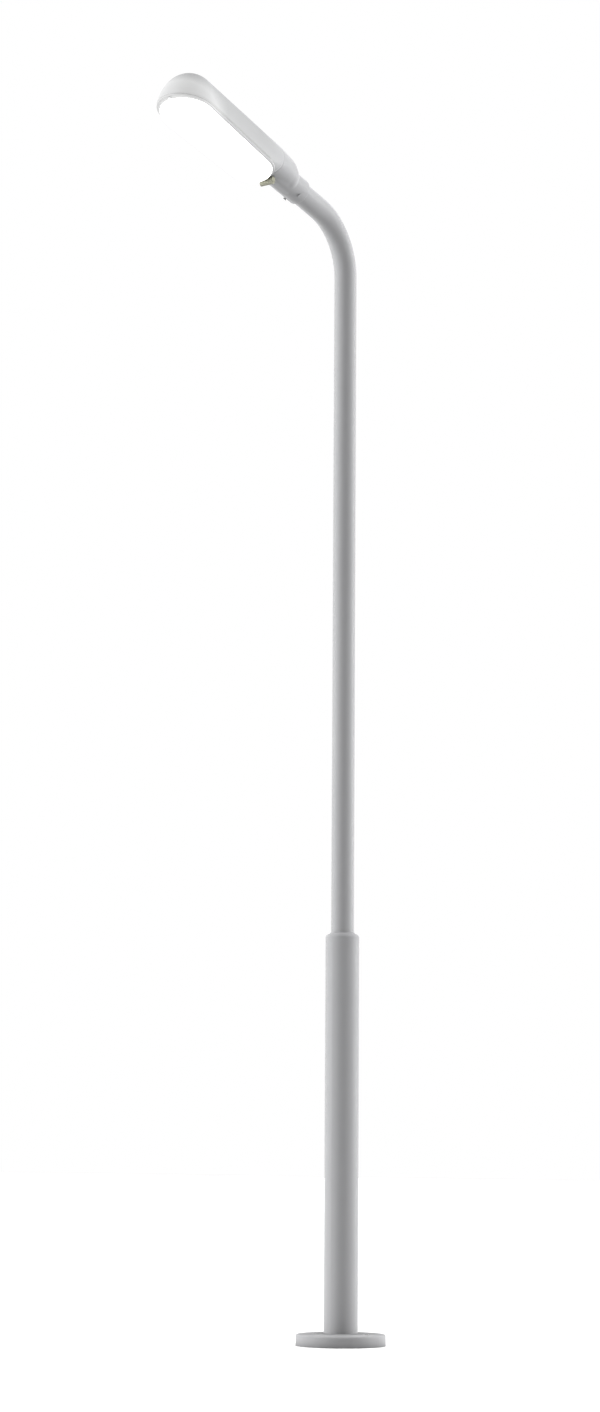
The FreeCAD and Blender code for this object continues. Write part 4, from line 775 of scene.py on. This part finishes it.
class LAMP_OT_bowl_frame(bpy.types.Operator):
    """Cast frame round the bowl, with its screws"""
    bl_idname = "lamp.bowl_frame"
    bl_label = "Bowl frame"

    def execute(self, context):
        begin = (0, FRAME_TOP - 3 * MM)
        ledge = FRAME_WIDE - FRAME_STEP
        corners = [begin, (0, FRAME_LOW), (FRAME_WIDE, FRAME_LOW), (FRAME_WIDE, FRAME_SHELF),
                   (ledge, FRAME_SHELF), (ledge, FRAME_TOP), (0, FRAME_TOP), begin]
        rows = []
        for inset, height in rounded(corners, 2.2 * MM, 4)[:-1]:
            side = FRAME_INSET + inset
            nose = FRAME_INSET + FRAME_NOSE * inset / FRAME_WIDE
            rows.append(outline_row(side, nose, side, height))
        mesh = mesh_from_rows("bowl_frame_ring", rows, LANTERN, closed_along=True)
        piece = new_piece("bowl_frame_ring", "bowl", "translucent_canopy", mesh)
        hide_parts("bowl_frame")

        screw_radius, screw_tall, screw_inset = 3.2 * MM, 1.8 * MM, 6.5 * MM
        heads = bmesh.new()
        for out in (470 * MM, 620 * MM, 770 * MM, 920 * MM):
            share = (out - REAR_CENTRE) / (TIP_CENTRE - REAR_CENTRE)
            half = REAR_HALF + (TIP_HALF - REAR_HALF) * share - screw_inset
            for side in (-1, 1):
                add_screw_head(heads, LANTERN @ Matrix.Translation((out, side * half, FRAME_LOW))
                               @ Matrix.Rotation(math.pi, 4, "X"), screw_radius, screw_tall)
        mesh = bpy.data.meshes.new("bowl_frame_screws")
        heads.to_mesh(mesh)
        heads.free()
        new_piece("bowl_frame_screws", "bowl", "bright_steel", mesh, smooth=False)
        return {"FINISHED"}


def add_screw_head(form, place, radius, tall):
    """A domed screw head with a slot, standing on the XY plane of its place."""
    count, rings = 20, 5
    dome = [(radius, 0)]
    for ring in range(rings + 1):
        turn = math.pi / 2 * ring / rings
        spread = 0.5 if ring == rings else 1 - 0.35 * (1 - math.cos(turn))
        dome.append((radius * spread, tall * (0.45 + 0.55 * math.sin(turn))))
    rows = [add_loop(form, place, [(r * math.cos(a), r * math.sin(a), height)
                                   for a in circle_angles(count)]) for r, height in dome]
    long, wide = radius * 0.62, radius * 0.11
    bar = [(-long, -wide), (long, -wide), (long, wide), (-long, wide)]
    slot = [add_loop(form, place, [(x, y, tall * height) for x, y in bar])
            for height in (0.9, 1.04)]
    join_loops(form, rows)
    join_loops(form, slot)
    form.faces.new(rows[-1])
    form.faces.new(slot[1])
    form.faces.new(slot[0][::-1])


def add_loop(form, place, points):
    return [form.verts.new(place @ Vector(point)) for point in points]


def join_loops(form, loops, closed=True):
    """Fills the bands between neighbouring loops of points."""
    for first, second in zip(loops, loops[1:]):
        count = len(first)
        for i in range(count if closed else count - 1):
            j = (i + 1) % count
            form.faces.new((first[i], first[j], second[j], second[i]))


class LAMP_OT_foot(bpy.types.Operator):
    """Two half shells that cover the base plate and its bolts"""
    bl_idname = "lamp.foot"
    bl_label = "Foot cover"

    def execute(self, context):
        foot = context.scene.lamp_foot
        inner, edge, seam = 84.65 * MM, 55 * MM, math.radians(0.1)
        for name, start in (("base_cover_front", -90), ("base_cover_rear", 90)):
            low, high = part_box(name)
            radius = max(abs(low.y), high.y)
            crown, wall = high.z, foot.wall
            outer = rounded([(radius, 0), (radius, edge), (inner, crown)], foot.rounding, 10)
            inside = rounded([(inner, crown - wall), (radius - wall, edge - wall),
                              (radius - wall, 0)], foot.rounding - wall, 8)
            profile = [*outer, *inside, Vector((radius, 0))]
            mesh = turned(f"{name}_shell", profile, start=math.radians(start) + seam,
                          sweep=math.pi - 2 * seam, segments=120)
            piece = new_piece(f"{name}_shell", "column", "painted_steel", mesh)
            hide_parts(name)
        return {"FINISHED"}


class LAMP_OT_column(bpy.types.Operator):
    """Upper tube in one bent piece, and the weld bead that joins it to the shoulder"""
    bl_idname = "lamp.column"
    bl_label = "Upper tube"

    def execute(self, context):
        low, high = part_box("shaft_tube")
        radius = high.y
        around, shaft_steps, bend_steps, arm_steps = 80, 40, 48, 8
        bend_end = LANTERN_ORIGIN - U_AXIS * ARM_STUB
        bend_start = bend_end.z - BEND_RADIUS * U_AXIS.x
        turn = math.acos(U_AXIS.z)
        stations = [(Vector((0, 0, low.z + (bend_start - low.z) * step / shaft_steps)), 0.0)
                    for step in range(shaft_steps + 1)]
        for step in range(1, bend_steps + 1):
            angle = turn * step / bend_steps
            stations.append((Vector((BEND_RADIUS * (1 - math.cos(angle)), 0,
                                     bend_start + BEND_RADIUS * math.sin(angle))), angle))
        stations += [(bend_end + U_AXIS * (ARM_LENGTH * step / arm_steps), turn)
                     for step in range(1, arm_steps + 1)]
        outer, inner = [], []
        for centre, angle in stations:
            across = Vector((math.cos(angle), 0, -math.sin(angle)))
            for rows, size in ((outer, radius), (inner, radius - TUBE_WALL)):
                rows.append([centre + across * (size * math.cos(a)) + V_AXIS * (size * math.sin(a))
                             for a in circle_angles(around)])
        mesh = mesh_from_rows("upper_tube", outer + inner[::-1], Matrix(), closed_along=True)
        piece = new_piece("upper_tube", "column", "painted_steel", mesh)
        mark_sharp(piece)
        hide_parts("shaft_tube")

        self.make_weld(radius + FIT_GAP)
        return {"FINISHED"}

    def make_weld(self, inner):
        """A rippled fillet round the tube, sunk into the shoulder's top."""
        sunk, leg = 8 * MM, 7 * MM
        ripple, wander, hollow = 0.9 * MM, 0.4 * MM, 0.18
        beads, swells = 60, 23
        around, steps = 240, 8
        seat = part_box("shoulder_ring")[1].z - sunk
        rows = []
        for angle in circle_angles(around):
            size = leg + ripple * math.cos(angle * beads) + wander * math.sin(angle * swells)
            row = []
            for step in range(steps + 1):
                a = math.pi / 2 * step / steps
                bulge = size * (1.0 - hollow * math.sin(2 * a))
                r, z = inner + math.cos(a) * bulge, seat + math.sin(a) * bulge
                row.append((r * math.cos(angle), r * math.sin(angle), z))
            rows.append(row)
        mesh = mesh_from_rows("shoulder_bead", rows, Matrix(), closed_rows=False, closed_along=True)
        new_piece("shoulder_bead", "column", "painted_steel", mesh)


def mark_sharp(piece):
    """Keeps the edges between nearly square faces crisp."""
    sharp = math.radians(40)
    form = bmesh.new()
    form.from_mesh(piece.data)
    for edge in form.edges:
        if len(edge.link_faces) == 2 and edge.calc_face_angle() > sharp:
            edge.smooth = False
    form.to_mesh(piece.data)
    form.free()


class LAMP_OT_finish_nodes(bpy.types.Operator):
    """Gives every piece of the frame the finish of its slot"""
    bl_idname = "lamp.finish_nodes"
    bl_label = "Finish the frame's pieces"

    def execute(self, context):
        slots = {entry["node"]: entry["material_slot"] for entry in frame["record"]["subparts"]}
        for name, node in frame["nodes"].items():
            finish = finish_for(slots[name])
            if not node.material_slots:
                node.data.materials.append(finish)
            for slot in node.material_slots:
                slot.material = finish
        return {"FINISHED"}


class LAMP_OT_stage(bpy.types.Operator):
    """Pale floor, soft light and the camera"""
    bl_idname = "lamp.stage"
    bl_label = "Stage"

    def execute(self, context):
        self.make_floor()
        self.make_light(context)
        self.make_camera(context)
        return {"FINISHED"}

    def towards(self, stage):
        """The level direction from the camera to the post."""
        return Vector((-math.sin(stage.heading), -math.cos(stage.heading), 0))

    def right(self, stage):
        """The level direction to the camera's right."""
        return Vector((-math.cos(stage.heading), math.sin(stage.heading), 0))

    def make_floor(self):
        reach = 60
        mesh = bpy.data.meshes.new("floor")
        mesh.from_pydata([(-reach, -reach, 0), (reach, -reach, 0), (reach, reach, 0),
                          (-reach, reach, 0)], [], [(0, 1, 2, 3)])
        finish = Finish("floor", roughness=0.9, specular_ior_level=0.0)
        grain = finish.noise(3, 2)
        dark, light = (0.475, 0.475, 0.475, 1), (0.485, 0.485, 0.485, 1)
        finish.set("Base Color", finish.mixed(grain, dark, light))
        mesh.materials.append(finish.material)
        floor = bpy.data.objects.new("floor", mesh)
        bpy.context.scene.collection.objects.link(floor)

    def make_light(self, context):
        """An even white tent, with soft lights from the left, the right, the rear and above."""
        stage = context.scene.lamp_stage
        world = bpy.data.worlds.new("tent")
        world.use_nodes = True
        world.node_tree.nodes["Background"].inputs["Color"].default_value = (1, 1, 1, 1)
        world.node_tree.nodes["Background"].inputs["Strength"].default_value = 1.0
        context.scene.world = world
        context.scene.view_settings.view_transform = "Standard"
        front, right = -self.towards(stage), self.right(stage)
        for name, turn, rise, strength in (("left", -92, 6, stage.left_light),
                                           ("right", 90, 6, stage.right_light),
                                           ("rear", 112, 6, stage.rear_light),
                                           ("top", 0, 89, stage.top_light)):
            turn, rise = math.radians(turn), math.radians(rise)
            level = front * math.cos(turn) + right * math.sin(turn)
            source = level * math.cos(rise) + Vector((0, 0, math.sin(rise)))
            data = bpy.data.lights.new(f"{name}_light", "SUN")
            data.energy = strength
            data.angle = stage.softness
            light = bpy.data.objects.new(f"{name}_light", data)
            light.visible_glossy = False
            light.rotation_mode = "QUATERNION"
            light.rotation_quaternion = source.to_track_quat("Z", "Y")
            context.scene.collection.objects.link(light)

    def make_camera(self, context):
        stage = context.scene.lamp_stage
        towards = self.towards(stage)
        data = bpy.data.cameras.new("camera")
        data.lens = stage.lens
        data.sensor_width = 36
        data.clip_end = 500
        camera = bpy.data.objects.new("camera", data)
        camera.location = self.right(stage) * stage.side - towards * stage.distance
        camera.location.z = stage.height
        look = towards * math.cos(stage.pitch) + Vector((0, 0, math.sin(stage.pitch)))
        turn = look.to_track_quat("-Z", "Y").to_matrix() @ Matrix.Rotation(stage.roll, 3, "Z")
        camera.rotation_mode = "QUATERNION"
        camera.rotation_quaternion = turn.to_quaternion()
        context.scene.collection.objects.link(camera)
        context.scene.camera = camera


OPERATORS = (LAMP_OT_finish_nodes, LAMP_OT_neck, LAMP_OT_canopy, LAMP_OT_bowl,
             LAMP_OT_bowl_frame, LAMP_OT_foot, LAMP_OT_column, LAMP_OT_stage)


class LAMP_PT_panel(bpy.types.Panel):
    """Lists the settings and the steps that build the lamp post's looks"""
    bl_idname = "LAMP_PT_panel"
    bl_label = "Lamp post"
    bl_space_type = "VIEW_3D"
    bl_region_type = "UI"
    bl_category = "Lamp post"

    def draw(self, context):
        for name in SETTINGS:
            section = self.layout.box()
            settings = getattr(context.scene, name)
            for entry in settings.bl_rna.properties:
                if entry.identifier not in ("rna_type", "name"):
                    section.prop(settings, entry.identifier)
        for operator in OPERATORS:
            self.layout.operator(operator.bl_idname)


CLASSES = (*SETTINGS.values(), *OPERATORS, LAMP_PT_panel)


def register():
    for item in CLASSES:
        bpy.utils.register_class(item)
    for name, group in SETTINGS.items():
        setattr(bpy.types.Scene, name, bpy.props.PointerProperty(type=group))


def unregister():
    for name in SETTINGS:
        delattr(bpy.types.Scene, name)
    for item in reversed(CLASSES):
        bpy.utils.unregister_class(item)


def main():
    register()
    for operator in OPERATORS:
        family, step = operator.bl_idname.split(".")
        getattr(getattr(bpy.ops, family), step)()


if __name__ == "__main__":
    main()
